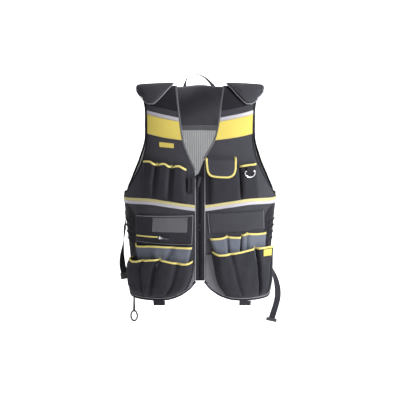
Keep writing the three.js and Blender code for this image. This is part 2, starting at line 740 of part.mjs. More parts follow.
/**
 * A pocket's outer wall: full at the mouth, closed along its sides and foot. The outline holds shares of the
 * half width (inner, outer) and of the length (mouth, foot). The shape holds how far it bulges, the width over
 * which its sides rise (gusset), the height over which its foot rises (toe) and how much less full it is at
 * the foot (taper). The folds are shares of the pocket's width.
 */
function pocket(outline, shape) {
  const { side, mouth, sides, foot, columns, rows } = outline;
  const { bulge, gusset, toe, taper = 0, folds = [], wall = POCKET_WALL } = shape;
  const edgesAt = (v) => ({
    inner: follow(sides, "share", "inner", v),
    outer: follow(sides, "share", "outer", v),
  });
  const footAt = (u) => (typeof foot === "function" ? foot(u) : follow(foot, "share", "down", u));
  const mouthAt = (u) => follow(mouth, "share", "down", u);
  return new Cloth({
    side,
    columns,
    rows,
    where: (u, v) => {
      const down = mix(mouthAt(u), footAt(u), v);
      const { inner, outer } = edgesAt(v);
      return { angle: mix(frontAngle(inner, down), frontAngle(outer, down), u), down };
    },
    lift: (u, v) => {
      const { inner, outer } = edgesAt(v);
      const fromEdge = Math.min(u, 1 - u) * (outer - inner) * HALF_WIDTH;
      const fromFoot = (1 - v) * (footAt(u) - mouthAt(u)) * VEST_LENGTH;
      const shoulder = quarterRound(fromEdge / gusset) * quarterRound(fromFoot / toe) * (1 - taper * v);
      const pinch = folds.reduce((keep, fold) => {
        const place = mix(fold.mouth, fold.foot, v);
        return keep * (1 - fold.depth * Math.exp(-(((u - place) / fold.width) ** 2)));
      }, 1);
      return OVER_PANEL + bulge * shoulder * pinch;
    },
    wall,
  });
}

/** The binding along a pocket's mouth. */
const mouthBinding = (cloth) =>
  rim(cloth.edge("top"), { width: POCKET_BINDING_WIDTH, wall: cloth.wall, inside: -MOUTH_BINDING_INSET });

/** A small piece that lies on another cloth, between shares of its width and height. */
function overlay(under, [u0, u1], [v0, v1], wall, columns = 4, rows = 2) {
  return new Cloth({
    side: under.side,
    columns: spread(columns),
    rows: spread(rows),
    where: (u, v) => under.where(mix(u0, u1, u), mix(v0, v1, v)),
    lift: (u, v) => under.lift(mix(u0, u1, u), mix(v0, v1, v)) + under.wall + LAYER_GAP,
    wall,
  });
}

/** Level just above the waist band, along a pocket's foot between two shares of the half width. */
const aboveWaist = (inner, outer) => (u) =>
  waistTop(mix(frontAngle(inner, UNDERARM), frontAngle(outer, UNDERARM), u)) - (2 * LAYER_GAP) / VEST_LENGTH;

// Left chest: gathered tool pocket, pen loops and a plain patch
const toolPocket = pocket(
  {
    side: LEFT,
    mouth: [
      { share: 0.0, down: 0.3775 },
      { share: 0.14, down: 0.36 },
      { share: 0.29, down: 0.366 },
      { share: 0.44, down: 0.351 },
      { share: 0.62, down: 0.3575 },
      { share: 0.8, down: 0.343 },
      { share: 1.0, down: 0.345 },
    ],
    sides: [
      { share: 0, inner: 0.18, outer: 0.712 },
      { share: 1, inner: 0.168, outer: 0.738 },
    ],
    foot: aboveWaist(0.168, 0.738),
    columns: [0, 0.05, 0.13, 0.21, 0.28, 0.35, 0.44, 0.53, 0.61, 0.68, 0.78, 0.88, 0.96, 1],
    rows: [0, 0.25, 0.5, 0.75, 0.92, 1],
  },
  {
    bulge: TOOL_BULGE,
    gusset: 15,
    toe: 60,
    folds: [
      { mouth: 0.28, foot: 0.34, depth: 0.85, width: 0.05 },
      { mouth: 0.61, foot: 0.68, depth: 0.85, width: 0.05 },
    ],
  },
);
add("tool_pocket", toolPocket.geometry(), "black_cloth");
add("tool_pocket_binding", mouthBinding(toolPocket), "yellow_binding");

const penLoops = pocket(
  {
    side: LEFT,
    mouth: [
      { share: 0, down: 0.41 },
      { share: 1, down: 0.408 },
    ],
    sides: [
      { share: 0, inner: 0.075, outer: 0.158 },
      { share: 1, inner: 0.075, outer: 0.158 },
    ],
    foot: () => 0.482,
    columns: [0, 0.08, 0.25, 0.42, 0.5, 0.58, 0.75, 0.92, 1],
    rows: [0, 0.35, 0.7, 0.9, 1],
  },
  {
    bulge: PEN_BULGE,
    gusset: 2.5,
    toe: 14,
    folds: [{ mouth: 0.5, foot: 0.5, depth: 0.9, width: 0.06 }],
  },
);
add("pen_loops", penLoops.geometry(), "webbing");

const chestPatch = pocket(
  {
    side: LEFT,
    mouth: [
      { share: 0, down: 0.255 },
      { share: 1, down: 0.249 },
    ],
    sides: [
      { share: 0, inner: 0.332, outer: 0.52 },
      { share: 1, inner: 0.337, outer: 0.52 },
    ],
    foot: (u) => mix(0.2765, 0.2715, u),
    columns: spread(3),
    rows: [0, 1],
  },
  {
    bulge: 0,
    gusset: 1,
    toe: 1,
    wall: STRIP_WALL,
  },
);
add("chest_patch", chestPatch.geometry(), "yellow_cloth");

// Right chest: flap pocket and the pocket that carries the ring
const phonePocket = pocket(
  {
    side: RIGHT,
    mouth: [
      { share: 0, down: 0.372 },
      { share: 1, down: 0.362 },
    ],
    sides: [
      { share: 0, inner: 0.112, outer: 0.49 },
      { share: 1, inner: 0.12, outer: 0.512 },
    ],
    foot: aboveWaist(0.12, 0.512),
    columns: [0, 0.03, 0.09, 0.18, 0.34, 0.5, 0.66, 0.82, 0.91, 0.97, 1],
    rows: [0, 0.3, 0.6, 0.8, 0.93, 1],
  },
  {
    bulge: PHONE_BULGE,
    gusset: 13,
    toe: 30,
  },
);
add("phone_pocket", phonePocket.geometry(), "black_cloth");

const flapRise = PHONE_BULGE + POCKET_WALL + LAYER_GAP;
const phoneFlap = new Cloth({
  side: RIGHT,
  columns: [0, 0.06, 0.16, 0.32, 0.5, 0.68, 0.84, 0.94, 1],
  rows: [0, 0.14, 0.3, 0.5, 0.75, 1],
  where: (u, v) => {
    const hem = [
      { share: 0.0, down: 0.365 },
      { share: 0.06, down: 0.382 },
      { share: 0.16, down: 0.392 },
      { share: 0.5, down: 0.404 },
      { share: 0.68, down: 0.404 },
      { share: 0.84, down: 0.397 },
      { share: 0.94, down: 0.384 },
      { share: 1.0, down: 0.362 },
    ];
    const down = mix(mix(0.3215, 0.3185, u), follow(hem, "share", "down", u), v);
    const across = mix(mix(0.088, 0.1, v), mix(0.432, 0.43, v), u);
    return { angle: frontAngle(across, down), down };
  },
  lift: (u, v) => OVER_PANEL + flapRise * quarterRound(v / 0.3),
  wall: FLAP_WALL,
});
add("phone_flap", phoneFlap.geometry(), "black_cloth");
const flapStations = [
  ...phoneFlap.edge("inner").slice(0, -1),
  ...phoneFlap.edge("foot"),
  ...phoneFlap.edge("outer").slice(0, -1).reverse(),
];
const flapEdge = { gap: 1.5 * RIM_GAP, width: POCKET_BINDING_WIDTH, wall: FLAP_WALL, inside: 0 };
add("phone_flap_binding", rim(flapStations, flapEdge), "yellow_binding");

const ringPocket = pocket(
  {
    side: RIGHT,
    mouth: [
      { share: 0.0, down: 0.365 },
      { share: 0.12, down: 0.362 },
      { share: 1.0, down: 0.356 },
    ],
    sides: [
      { share: 0, inner: 0.5, outer: 0.708 },
      { share: 1, inner: 0.54, outer: 0.75 },
    ],
    foot: aboveWaist(0.54, 0.75),
    columns: [0, 0.06, 0.16, 0.32, 0.5, 0.68, 0.84, 0.94, 1],
    rows: [0, 0.18, 0.4, 0.65, 0.88, 1],
  },
  {
    bulge: RING_POCKET_BULGE,
    gusset: 11,
    toe: 55,
  },
);
add("ring_pocket", ringPocket.geometry(), "black_cloth");
add("ring_pocket_binding", mouthBinding(ringPocket), "yellow_binding");

/** A group standing on a cloth: x across, y up the cloth's face, z out of it. */
function standOn(cloth, u, v, out, tilt = 0) {
  const { angle, down } = cloth.where(u, v);
  const normal = skinNormal(cloth.side, angle, down).setZ(0).normalize();
  const up = new THREE.Vector3(0, 0, 1);
  const group = new THREE.Group();
  group.position.copy(cloth.at(u, v, cloth.wall + out));
  group.quaternion.setFromRotationMatrix(new THREE.Matrix4().makeBasis(up.clone().cross(normal), up, normal));
  group.rotateZ(tilt);
  vest.add(group);
  return group;
}

/** The webbing tab round the straight side of the D ring, and the ring that swings in it. */
function ringAndTab() {
  const bore = RING_WIRE / 2 + RING_BORE_CLEARANCE;
  const outer = bore + RING_EYE_WALL;
  const place = standOn(ringPocket, 0.47, 0.16, outer + RIM_GAP);
  const neck = Math.asin(RING_TAB_WALL / 2 / outer);
  const outline = new THREE.Shape();
  outline.moveTo(-RING_TAB_WALL / 2, RING_TAB_LENGTH);
  outline.lineTo(-RING_TAB_WALL / 2, outer * Math.cos(neck));
  outline.absarc(0, 0, outer, Math.PI / 2 + neck, 2.5 * Math.PI - neck, false);
  outline.lineTo(RING_TAB_WALL / 2, RING_TAB_LENGTH);
  const hole = new THREE.Path();
  hole.absarc(0, 0, bore, 0, 2 * Math.PI, true);
  outline.holes = [hole];
  const settings = { depth: RING_TAB_WIDTH, bevelEnabled: false, curveSegments: 6 };
  const tab = new THREE.ExtrudeGeometry(outline, settings);
  tab.translate(0, 0, -RING_TAB_WIDTH / 2).rotateY(Math.PI / 2);
  add("ring_tab", tab, "webbing", place);

  const reach = (RING_WIDTH - RING_WIRE) / 2;
  const corner = 0.3 * RING_BEND;
  const bowTop = -RING_BEND - 0.5;
  const path = [new THREE.Vector3(-reach + RING_BEND, 0, 0), new THREE.Vector3(reach - RING_BEND, 0, 0)];
  path.push(new THREE.Vector3(reach - corner, -corner, 0));
  for (let i = 0; i <= RING_STEPS; i++) {
    const turn = (-Math.PI * i) / RING_STEPS;
    path.push(new THREE.Vector3(reach * Math.cos(turn), bowTop + RING_BOW * reach * Math.sin(turn), 0));
  }
  path.push(new THREE.Vector3(-reach + corner, -corner, 0));
  const upright = path.map(() => new THREE.Vector3(0, 0, 1));
  add("d_ring", ribbon(path, upright, RING_WIRE, RING_WIRE, 8, true), "metal", place);
}
ringAndTab();

/** A zip slider with its bridge, and the pull that swings on the bridge. */
function slider(place, sliderName, pullName) {
  const half = SLIDER_WIDTH / 2;
  const body = plate(
    [
      new THREE.Vector2(-half, SLIDER_LENGTH / 2),
      new THREE.Vector2(-0.6 * half, -SLIDER_LENGTH / 2),
      new THREE.Vector2(0.6 * half, -SLIDER_LENGTH / 2),
      new THREE.Vector2(half, SLIDER_LENGTH / 2),
    ],
    SLIDER_WALL,
  ).translate(0, 0, SLIDER_WALL / 2);
  const bar = PULL_WALL / 2;
  const inside = bar + PULL_CLEARANCE;
  const outside = inside + BRIDGE_WALL;
  const pivot = SLIDER_WALL + inside;
  const bridge = plate(
    rectangle(-outside, -outside - RIM_GAP, outside, outside),
    BRIDGE_WIDTH,
    [rectangle(-inside, -inside, inside, inside)],
  )
    .rotateY(Math.PI / 2)
    .rotateX(-Math.PI / 2)
    .translate(0, 0, pivot);
  add(sliderName, joined(body, bridge), "metal", place);

  const hinge = new THREE.Group();
  hinge.position.set(0, 0, pivot);
  place.add(hinge);
  const wide = PULL_WIDTH / 2;
  const windowFoot = -(Math.SQRT2 * outside + 1.2);
  const pull = plate(
    [
      new THREE.Vector2(-wide, bar),
      new THREE.Vector2(-wide, windowFoot - 4),
      new THREE.Vector2(-0.7 * wide, -PULL_LENGTH),
      new THREE.Vector2(0.7 * wide, -PULL_LENGTH),
      new THREE.Vector2(wide, windowFoot - 4),
      new THREE.Vector2(wide, bar),
    ],
    PULL_WALL,
    [rectangle(-wide + PULL_FRAME, windowFoot, wide - PULL_FRAME, -bar)],
  );
  add(pullName, pull, "metal", hinge);
}
slider(standOn(frontZip, 0.47, 0.416, RIM_GAP, -0.2), "front_zip_slider", "front_zip_pull");

// Left lower: window pocket with its zip, middle pocket and bellows pocket
const windowPocket = pocket(
  {
    side: LEFT,
    mouth: [
      { share: 0, down: 0.588 },
      { share: 1, down: 0.598 },
    ],
    sides: [
      { share: 0, inner: 0.092, outer: 0.808 },
      { share: 1, inner: 0.11, outer: 0.82 },
    ],
    foot: (u) => mix(0.7255, 0.722, u),
    columns: [0, 0.03, 0.12, 0.28, 0.44, 0.6, 0.76, 0.9, 0.97, 1],
    rows: [0, 0.3, 0.6, 0.9, 1],
  },
  {
    bulge: PANEL_POCKET_BULGE,
    gusset: 8,
    toe: 10,
  },
);
add("window_pocket", windowPocket.geometry(), "black_cloth");
const pocketWindow = overlay(windowPocket, [0.06, 0.62], [0.04, 0.58], WINDOW_WALL, 6, 2);
add("window", pocketWindow.geometry(), "clear_window");
const zipBinding = overlay(windowPocket, [0.5, 0.985], [0.75, 0.8], STRIP_WALL, 6, 1);
add("window_pocket_binding", zipBinding.geometry(), "yellow_binding");
const alongPocketZip = Math.PI / 2 - 0.12;
slider(standOn(windowPocket, 0.445, 0.79, RIM_GAP, alongPocketZip), "pocket_zip_slider", "pocket_zip_pull");

const MIDDLE_FOOT = 0.855;
const middlePocket = pocket(
  {
    side: LEFT,
    mouth: [
      { share: 0.0, down: 0.7465 },
      { share: 0.5, down: 0.7425 },
      { share: 0.93, down: 0.749 },
      { share: 1.0, down: 0.74 },
    ],
    sides: [
      { share: 0, inner: 0.11, outer: 0.825 },
      { share: 0.6, inner: 0.15, outer: 0.8 },
      { share: 1, inner: 0.16, outer: 0.79 },
    ],
    foot: () => MIDDLE_FOOT,
    columns: [0, 0.03, 0.08, 0.2, 0.34, 0.5, 0.66, 0.8, 0.92, 0.97, 1],
    rows: [0, 0.35, 0.7, 0.9, 1],
  },
  {
    bulge: MIDDLE_BULGE,
    gusset: 10,
    toe: 20,
  },
);
add("middle_pocket", middlePocket.geometry(), "grey_cloth");
add("middle_pocket_binding", mouthBinding(middlePocket), "yellow_binding");

const BELLOWS = { bulge: LOWER_BULGE, gusset: 14, taper: 0.35, toe: 26 };
const lowerColumns = [0, 0.012, 0.04, 0.1, 0.22, 0.36, 0.47, 0.58, 0.7, 0.82, 0.92, 0.965, 0.988, 1];
const lowerRows = [0, 0.2, 0.4, 0.6, 0.76, 0.88, 0.96, 1];
const LOWER_LEFT_SIDES = [
  { share: 0, inner: 0.1, outer: 0.872 },
  { share: 0.25, inner: 0.106, outer: 0.9 },
  { share: 0.7, inner: 0.168, outer: 0.908 },
  { share: 1, inner: 0.31, outer: 0.88 },
];
const lowerLeft = pocket(
  {
    side: LEFT,
    mouth: [
      { share: 0.0, down: 0.8115 },
      { share: 0.07, down: 0.819 },
      { share: 0.2, down: 0.814 },
      { share: 0.4, down: 0.8025 },
      { share: 0.6, down: 0.8085 },
      { share: 0.86, down: 0.8215 },
      { share: 0.93, down: 0.812 },
      { share: 1.0, down: 0.8105 },
    ],
    sides: LOWER_LEFT_SIDES,
    foot: [
      { share: 0.0, down: 0.972 },
      { share: 0.25, down: 0.983 },
      { share: 0.5, down: 0.986 },
      { share: 0.9, down: 0.983 },
      { share: 1.0, down: 0.972 },
    ],
    columns: lowerColumns,
    rows: lowerRows,
  },
  {
    ...BELLOWS,
    folds: [{ mouth: 0.4, foot: 0.47, depth: 0.4, width: 0.05 }],
  },
);
add("lower_pocket_left", lowerLeft.geometry(), "black_cloth");
add("lower_pocket_left_binding", mouthBinding(lowerLeft), "yellow_binding");

// Right lower: document pocket, two small pockets and the bellows pocket
const documentPocket = pocket(
  {
    side: RIGHT,
    mouth: [
      { share: 0, down: 0.577 },
      { share: 1, down: 0.575 },
    ],
    sides: [
      { share: 0, inner: 0.105, outer: 0.812 },
      { share: 1, inner: 0.13, outer: 0.825 },
    ],
    foot: (u) => mix(0.675, 0.662, u),
    columns: [0, 0.03, 0.12, 0.28, 0.44, 0.6, 0.76, 0.9, 0.97, 1],
    rows: [0, 0.35, 0.7, 0.9, 1],
  },
  {
    bulge: PANEL_POCKET_BULGE,
    gusset: 8,
    toe: 10,
  },
);
add("document_pocket", documentPocket.geometry(), "black_cloth");

const innerPocket = pocket(
  {
    side: RIGHT,
    mouth: [
      { share: 0.0, down: 0.703 },
      { share: 0.28, down: 0.7005 },
      { share: 0.5, down: 0.694 },
      { share: 0.75, down: 0.697 },
      { share: 1.0, down: 0.6985 },
    ],
    sides: [
      { share: 0, inner: 0.135, outer: 0.52 },
      { share: 0.45, inner: 0.185, outer: 0.51 },
      { share: 1, inner: 0.24, outer: 0.5 },
    ],
    foot: () => 0.84,
    columns: [0, 0.05, 0.14, 0.26, 0.38, 0.5, 0.62, 0.74, 0.86, 0.95, 1],
    rows: [0, 0.3, 0.6, 0.85, 1],
  },
  {
    bulge: MIDDLE_BULGE,
    gusset: 9,
    toe: 25,
    folds: [{ mouth: 0.5, foot: 0.5, depth: 0.7, width: 0.06 }],
  },
);
add("inner_pocket", innerPocket.geometry(), "grey_cloth");
add("inner_pocket_binding", mouthBinding(innerPocket), "yellow_binding");

const outerPocket = pocket(
  {
    side: RIGHT,
    mouth: [
      { share: 0.0, down: 0.6885 },
      { share: 0.2, down: 0.683 },
      { share: 0.6, down: 0.687 },
      { share: 1.0, down: 0.687 },
    ],
    sides: [
      { share: 0, inner: 0.534, outer: 0.845 },
      { share: 0.45, inner: 0.525, outer: 0.83 },
      { share: 1, inner: 0.515, outer: 0.8 },
    ],
    foot: () => 0.84,
    columns: [0, 0.06, 0.16, 0.32, 0.5, 0.68, 0.84, 0.94, 1],
    rows: [0, 0.3, 0.6, 0.85, 1],
  },
  {
    bulge: MIDDLE_BULGE,
    gusset: 9,
    toe: 25,
    folds: [{ mouth: 0.16, foot: 0.2, depth: 0.5, width: 0.07 }],
  },
);
add("outer_pocket", outerPocket.geometry(), "grey_cloth");
add("outer_pocket_binding", mouthBinding(outerPocket), "yellow_binding");

const LOWER_RIGHT_SIDES = [
  { share: 0, inner: 0.16, outer: 0.9 },
  { share: 0.2, inner: 0.185, outer: 0.895 },
  { share: 0.7, inner: 0.245, outer: 0.905 },
  { share: 1, inner: 0.36, outer: 0.88 },
];
const lowerRight = pocket(
  {
    side: RIGHT,
    mouth: [
      { share: 0.0, down: 0.7645 },
      { share: 0.07, down: 0.776 },
      { share: 0.3, down: 0.766 },
      { share: 0.58, down: 0.751 },
      { share: 0.8, down: 0.7505 },
      { share: 1.0, down: 0.761 },
    ],
    sides: LOWER_RIGHT_SIDES,
    foot: [
      { share: 0.0, down: 0.975 },
      { share: 0.25, down: 0.983 },
      { share: 0.5, down: 0.985 },
      { share: 0.9, down: 0.982 },
      { share: 1.0, down: 0.97 },
    ],
    columns: lowerColumns,
    rows: lowerRows,
  },
  {
    ...BELLOWS,
    folds: [{ mouth: 0.57, foot: 0.66, depth: 0.45, width: 0.055 }],
  },
);
add("lower_pocket_right", lowerRight.geometry(), "black_cloth");
add("lower_pocket_right_binding", mouthBinding(lowerRight), "yellow_binding");
const pocketLabel = overlay(lowerRight, [0.735, 0.93], [0.02, 0.16], STRIP_WALL, 5, 2);
add("pocket_label", pocketLabel.geometry(), "yellow_cloth");

/** The pale facing between the zip and the lower pocket's rounded inner edge. */
function facing({ side, top, foot, sides, mouth }) {
  const pocketFoot = 0.975;
  const corner = FRONT_HEM.filter((row) => row.share < 0.5);
  const gap = SEAM_GAP / HALF_WIDTH;
  return new Cloth({
    side,
    columns: spread(3),
    rows: spread(6),
    where: (u, v) => {
      const down = mix(top, foot, v);
      const zip = frontAngle(innerEdge("left", down), down);
      const seam = frontAngle(follow(FRONT_SIDE, "down", "edge", down), down);
      const hemShare = down < corner[0].down ? 0 : follow(corner, "down", "share", down);
      const share = (down - mouth) / (pocketFoot - mouth);
      const inner = mix(zip, seam, hemShare) + 2 * gap;
      const outer = frontAngle(follow(sides, "share", "inner", share), down) - 5 * gap;
      return { angle: mix(inner, Math.max(outer, inner + 2 * gap), u), down };
    },
    lift: OVER_PANEL,
    wall: STRIP_WALL,
  });
}

const FACINGS = [
  { name: "left", side: LEFT, top: 0.83, foot: 0.948, sides: LOWER_LEFT_SIDES, mouth: 0.8115 },
  { name: "right", side: RIGHT, top: 0.775, foot: 0.968, sides: LOWER_RIGHT_SIDES, mouth: 0.7645 },
];
for (const row of FACINGS) {
  add(`facing_${row.name}`, facing(row).geometry(), "grey_mesh");
}

/** A folded webbing tab that hangs flat below the hem. */
function hemTab(cloth, name, share) {
  const column = frontColumns.findIndex((u) => u > share);
  const foot = cloth.middle[cloth.rows.length - 1];
  const start = foot[column - 1];
  const end = foot[column];
  const t = (share - frontColumns[column - 1]) / (frontColumns[column] - frontColumns[column - 1]);
  const tab = new THREE.BoxGeometry(HEM_TAB_WIDTH, HEM_TAB_WALL, HEM_TAB_DROP);
  const mesh = add(`hem_tab_${name}`, tab, "webbing");
  const along = end.clone().sub(start).normalize().multiplyScalar(cloth.side);
  const front = new THREE.Vector3(0, 0, 1).cross(along).normalize();
  const up = along.clone().cross(front);
  mesh.quaternion.setFromRotationMatrix(new THREE.Matrix4().makeBasis(along, front, up));
  mesh.position.lerpVectors(start, end, t);
  mesh.position.addScaledVector(up, -RIM_GAP - EDGE_BINDING_WIDTH - LAYER_GAP - HEM_TAB_DROP / 2);
}
hemTab(fronts.left, "left", 0.381);
hemTab(fronts.right, "right", 0.438);

/**
 * A strap through knots. A knot lies on the side at a share of a quarter turn from the zip, or it is free, at
 * shares of the half width (out, back) and of the length (down). The turn is the compass way of the strap's
 * width, in degrees.
 */
function strapOf(side, table, count, width, standoff) {
  const knots = table.map(({ quarter, out, back, down }) =>
    quarter === undefined
      ? new THREE.Vector3(side * out * HALF_WIDTH, back * HALF_WIDTH, -down * VEST_LENGTH)
      : skin(side, (quarter * Math.PI) / 2, down, standoff),
  );
  const points = new THREE.CatmullRomCurve3(knots, false, "centripetal").getPoints(count);
  const ways = points.map((_, i) => {
    const at = (i / count) * (table.length - 1);
    const before = Math.min(Math.floor(at), table.length - 2);
    const turn = THREE.MathUtils.degToRad(mix(table[before].turn, table[before + 1].turn, at - before));
    return new THREE.Vector3(side * Math.cos(turn), Math.sin(turn), 0);
  });
  return { points, ways, geometry: ribbon(points, ways, width, WEBBING_WALL) };
}

/** The hanging loop: its ends lie flat on the back of the yoke and it twists as it arches over the neck. */
function hangLoop() {
  const standoff = YOKE_WALL + 1.5 * LAYER_GAP + WEBBING_WALL / 2;
  const foot = (across, down) => skin(Math.sign(across), backAngle(Math.abs(across), down), down, standoff);
  const across = 0.2;
  const levels = [0.068, 0.05, 0.032];
  const depth = foot(across, 0.03).y;
  const arch = [
    { span: -0.5, rise: 0.35, turn: 70 },
    { span: -0.4, rise: 0.78, turn: 85 },
    { span: -0.12, rise: 1.0, turn: 80 },
    { span: 0.14, rise: 0.8, turn: 70 },
    { span: 0.33, rise: 0.42, turn: 55 },
    { span: 0.46, rise: 0.06, turn: 35 },
  ];
  const feetTurn = 8;
  const turns = [
    ...levels.map(() => feetTurn),
    ...arch.map((row) => row.turn),
    ...levels.map(() => -feetTurn),
  ];
  const knots = [
    ...levels.map((down) => foot(-across, down)),
    ...arch.map(({ span, rise }) => new THREE.Vector3(span * LOOP_SPAN, depth + 1, rise * LOOP_RISE - 6)),
    ...levels.toReversed().map((down) => foot(across, down)),
  ];
  const steps = 2;
  const count = steps * (knots.length - 1);
  const points = new THREE.CatmullRomCurve3(knots, false, "centripetal").getPoints(count);
  const ways = points.map((_, i) => {
    const at = i / steps;
    const before = Math.min(Math.floor(at), turns.length - 2);
    const turn = THREE.MathUtils.degToRad(mix(turns[before], turns[before + 1], at - before));
    return new THREE.Vector3(Math.cos(turn), Math.sin(turn), 0);
  });
  add("hang_loop", ribbon(points, ways, LOOP_WEBBING_WIDTH, WEBBING_WALL), "webbing");
}
hangLoop();

/** A block with a slot for a strap's end, standing square to the strap. */
function slottedBlock(name, { points, ways }, width, length, reach) {
  const last = points.length - 1;
  const along = tangentAt(points, last, false);
  const thick = along.clone().cross(ways[last]).normalize();
  const wide = thick.clone().cross(along).normalize();
  const slotWide = STRAP_WIDTH / 2 + STRAP_SLOT_CLEARANCE;
  const slotDeep = WEBBING_WALL / 2 + STRAP_SLOT_CLEARANCE;
  const block = plate(
    rectangle(-width / 2, -slotDeep - BUCKLE_WALL, width / 2, slotDeep + BUCKLE_WALL),
    length,
    [rectangle(-slotWide, -slotDeep, slotWide, slotDeep)],
  );
  const mesh = add(name, block, "black_plastic");
  mesh.quaternion.setFromRotationMatrix(new THREE.Matrix4().makeBasis(wide, along.clone().cross(wide), along));
  mesh.position.copy(points[last]).addScaledVector(along, length / 2 - reach);
}

// The waist adjuster straps: bowed out into a buckle at the left, hanging free at the right
const STRAP_LEFT = [
  { quarter: 1.04, down: 0.6, turn: 95 },
  { quarter: 1.04, down: 0.63, turn: 95 },
  { out: 1.014, back: 0.02, down: 0.684, turn: 66 },
  { out: 1.034, back: 0.02, down: 0.755, turn: 90 },
  { out: 1.054, back: 0.02, down: 0.82, turn: 125 },
  { out: 1.05, back: 0.02, down: 0.87, turn: 155 },
  { out: 1.03, back: 0.02, down: 0.905, turn: 172 },
  { out: 1.018, back: 0.02, down: 0.935, turn: 172 },
];
const STRAP_RIGHT = [
  { quarter: 1.04, down: 0.79, turn: 95 },
  { quarter: 1.04, down: 0.83, turn: 95 },
  { out: 0.976, back: 0.05, down: 0.885, turn: 82 },
  { out: 1.022, back: 0.05, down: 0.932, turn: 45 },
  { out: 1.054, back: 0.04, down: 0.98, turn: 25 },
  { out: 1.06, back: 0.04, down: 1.025, turn: 15 },
  { out: 1.04, back: 0.04, down: 1.067, turn: 12 },
  { out: 1.005, back: 0.04, down: 1.11, turn: 10 },
  { out: 0.972, back: 0.04, down: 1.152, turn: 10 },
];

const onSide = MESH_WALL + 1.5 * LAYER_GAP + WEBBING_WALL / 2;
const strapLeft = strapOf(LEFT, STRAP_LEFT, 21, STRAP_WIDTH, onSide);
add("strap_left", strapLeft.geometry, "webbing");
const buckleWidth = STRAP_WIDTH + 2 * (STRAP_SLOT_CLEARANCE + BUCKLE_WALL);
slottedBlock("buckle_left", strapLeft, buckleWidth, BUCKLE_LENGTH, BUCKLE_REACH);
const strapRight = strapOf(RIGHT, STRAP_RIGHT, 24, STRAP_WIDTH, onSide);
add("strap_right", strapRight.geometry, "webbing");
slottedBlock("strap_end_right", strapRight, END_BAR_WIDTH, END_BAR_LENGTH, END_BAR_REACH);

/** The narrow webbing that hangs from the back hem at the left and ends in a sewn loop. */
function strapTail() {
  const table = [
    { quarter: 1.221, down: BACK_HEM + (2 * RIM_GAP + EDGE_BINDING_WIDTH) / VEST_LENGTH, turn: 95 },
    { out: 0.905, back: 0.18, down: 1.0, turn: 100 },
    { out: 0.908, back: 0.18, down: 1.06, turn: 110 },
    { out: 0.91, back: 0.18, down: 1.115, turn: 120 },
  ];
  const strip = strapOf(LEFT, table, 6, TAIL_WIDTH, MESH_WALL / 2);
  const top = strip.points[strip.points.length - 1];
  const knots = spread(12)
    .slice(0, -1)
    .map((share) => {
      const turn = 2 * Math.PI * share;
      const across = (TAIL_LOOP_WIDTH / 2) * Math.sin(turn);
      return top.clone().add(new THREE.Vector3(across, 0, (TAIL_LOOP_LENGTH / 2) * (Math.cos(turn) - 1)));
    });
  const flat = knots.map(() => new THREE.Vector3(0, 1, 0));
  const loop = ribbon(knots, flat, TAIL_LOOP_DEPTH, TAIL_LOOP_BAND, 4, true);
  add("strap_tail_left", joined(strip.geometry, loop), "webbing");
}
strapTail();

/** The adjuster lace, zigzag over the side panel between two angles from the zip, in radians. */
function sideLace() {
  const frontRow = 1.12;
  const backRow = 1.42;
  const top = 0.61;
  const foot = 0.735;
  const passes = 8;
  const pointsPerPass = 3;
  const sweep = spread(passes * pointsPerPass);
  const points = sweep.map((share, i) => {
    const phase = (i % (2 * pointsPerPass)) / pointsPerPass;
    const across = phase < 1 ? phase : 2 - phase;
    const angle = mix(frontRow, backRow, across);
    return skin(RIGHT, angle, mix(top, foot, share), MESH_WALL + LAYER_GAP + LACE_DIAMETER / 2);
  });
  const ways = points.map(() => new THREE.Vector3(0, 0, 1));
  add("side_lace_right", ribbon(points, ways, LACE_DIAMETER, LACE_DIAMETER), "webbing");
}
sideLace();

export default vest;
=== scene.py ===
"""Dresses the utility work vest: its cloth shells, padding, pockets, bindings, straps, zip and hardware.

Left and right are as seen from the front, so left is -X. The front faces -Y. Lengths are in metres.
"""

import json
import logging
import math
from dataclasses import dataclass, field
from enum import Enum
from typing import Callable, Optional, Sequence

import bpy
import numpy as np
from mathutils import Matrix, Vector

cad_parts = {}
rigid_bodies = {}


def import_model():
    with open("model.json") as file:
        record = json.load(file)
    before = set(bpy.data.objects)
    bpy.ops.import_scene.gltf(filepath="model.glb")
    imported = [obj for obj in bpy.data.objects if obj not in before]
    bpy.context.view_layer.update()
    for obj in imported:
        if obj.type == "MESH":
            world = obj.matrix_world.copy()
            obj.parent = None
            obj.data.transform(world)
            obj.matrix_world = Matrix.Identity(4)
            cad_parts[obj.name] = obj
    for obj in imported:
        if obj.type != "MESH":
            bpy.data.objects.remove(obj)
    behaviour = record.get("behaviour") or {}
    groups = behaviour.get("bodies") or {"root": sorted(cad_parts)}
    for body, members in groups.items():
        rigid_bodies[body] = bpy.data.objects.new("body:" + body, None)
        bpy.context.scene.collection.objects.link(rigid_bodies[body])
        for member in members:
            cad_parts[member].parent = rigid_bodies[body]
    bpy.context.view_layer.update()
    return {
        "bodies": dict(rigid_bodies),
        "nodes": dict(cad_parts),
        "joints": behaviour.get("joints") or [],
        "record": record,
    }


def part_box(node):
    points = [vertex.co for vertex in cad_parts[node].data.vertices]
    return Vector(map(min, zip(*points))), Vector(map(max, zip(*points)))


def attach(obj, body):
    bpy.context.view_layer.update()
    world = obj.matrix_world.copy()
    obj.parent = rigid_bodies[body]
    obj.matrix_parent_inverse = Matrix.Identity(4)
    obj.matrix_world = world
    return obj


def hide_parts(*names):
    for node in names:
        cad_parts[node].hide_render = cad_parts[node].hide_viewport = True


LOG = logging.getLogger("vest")
Array = np.ndarray
Stations = tuple[Array, Array, Array]
LEFT, RIGHT = -1.0, 1.0
NAMES = {LEFT: "left", RIGHT: "right"}


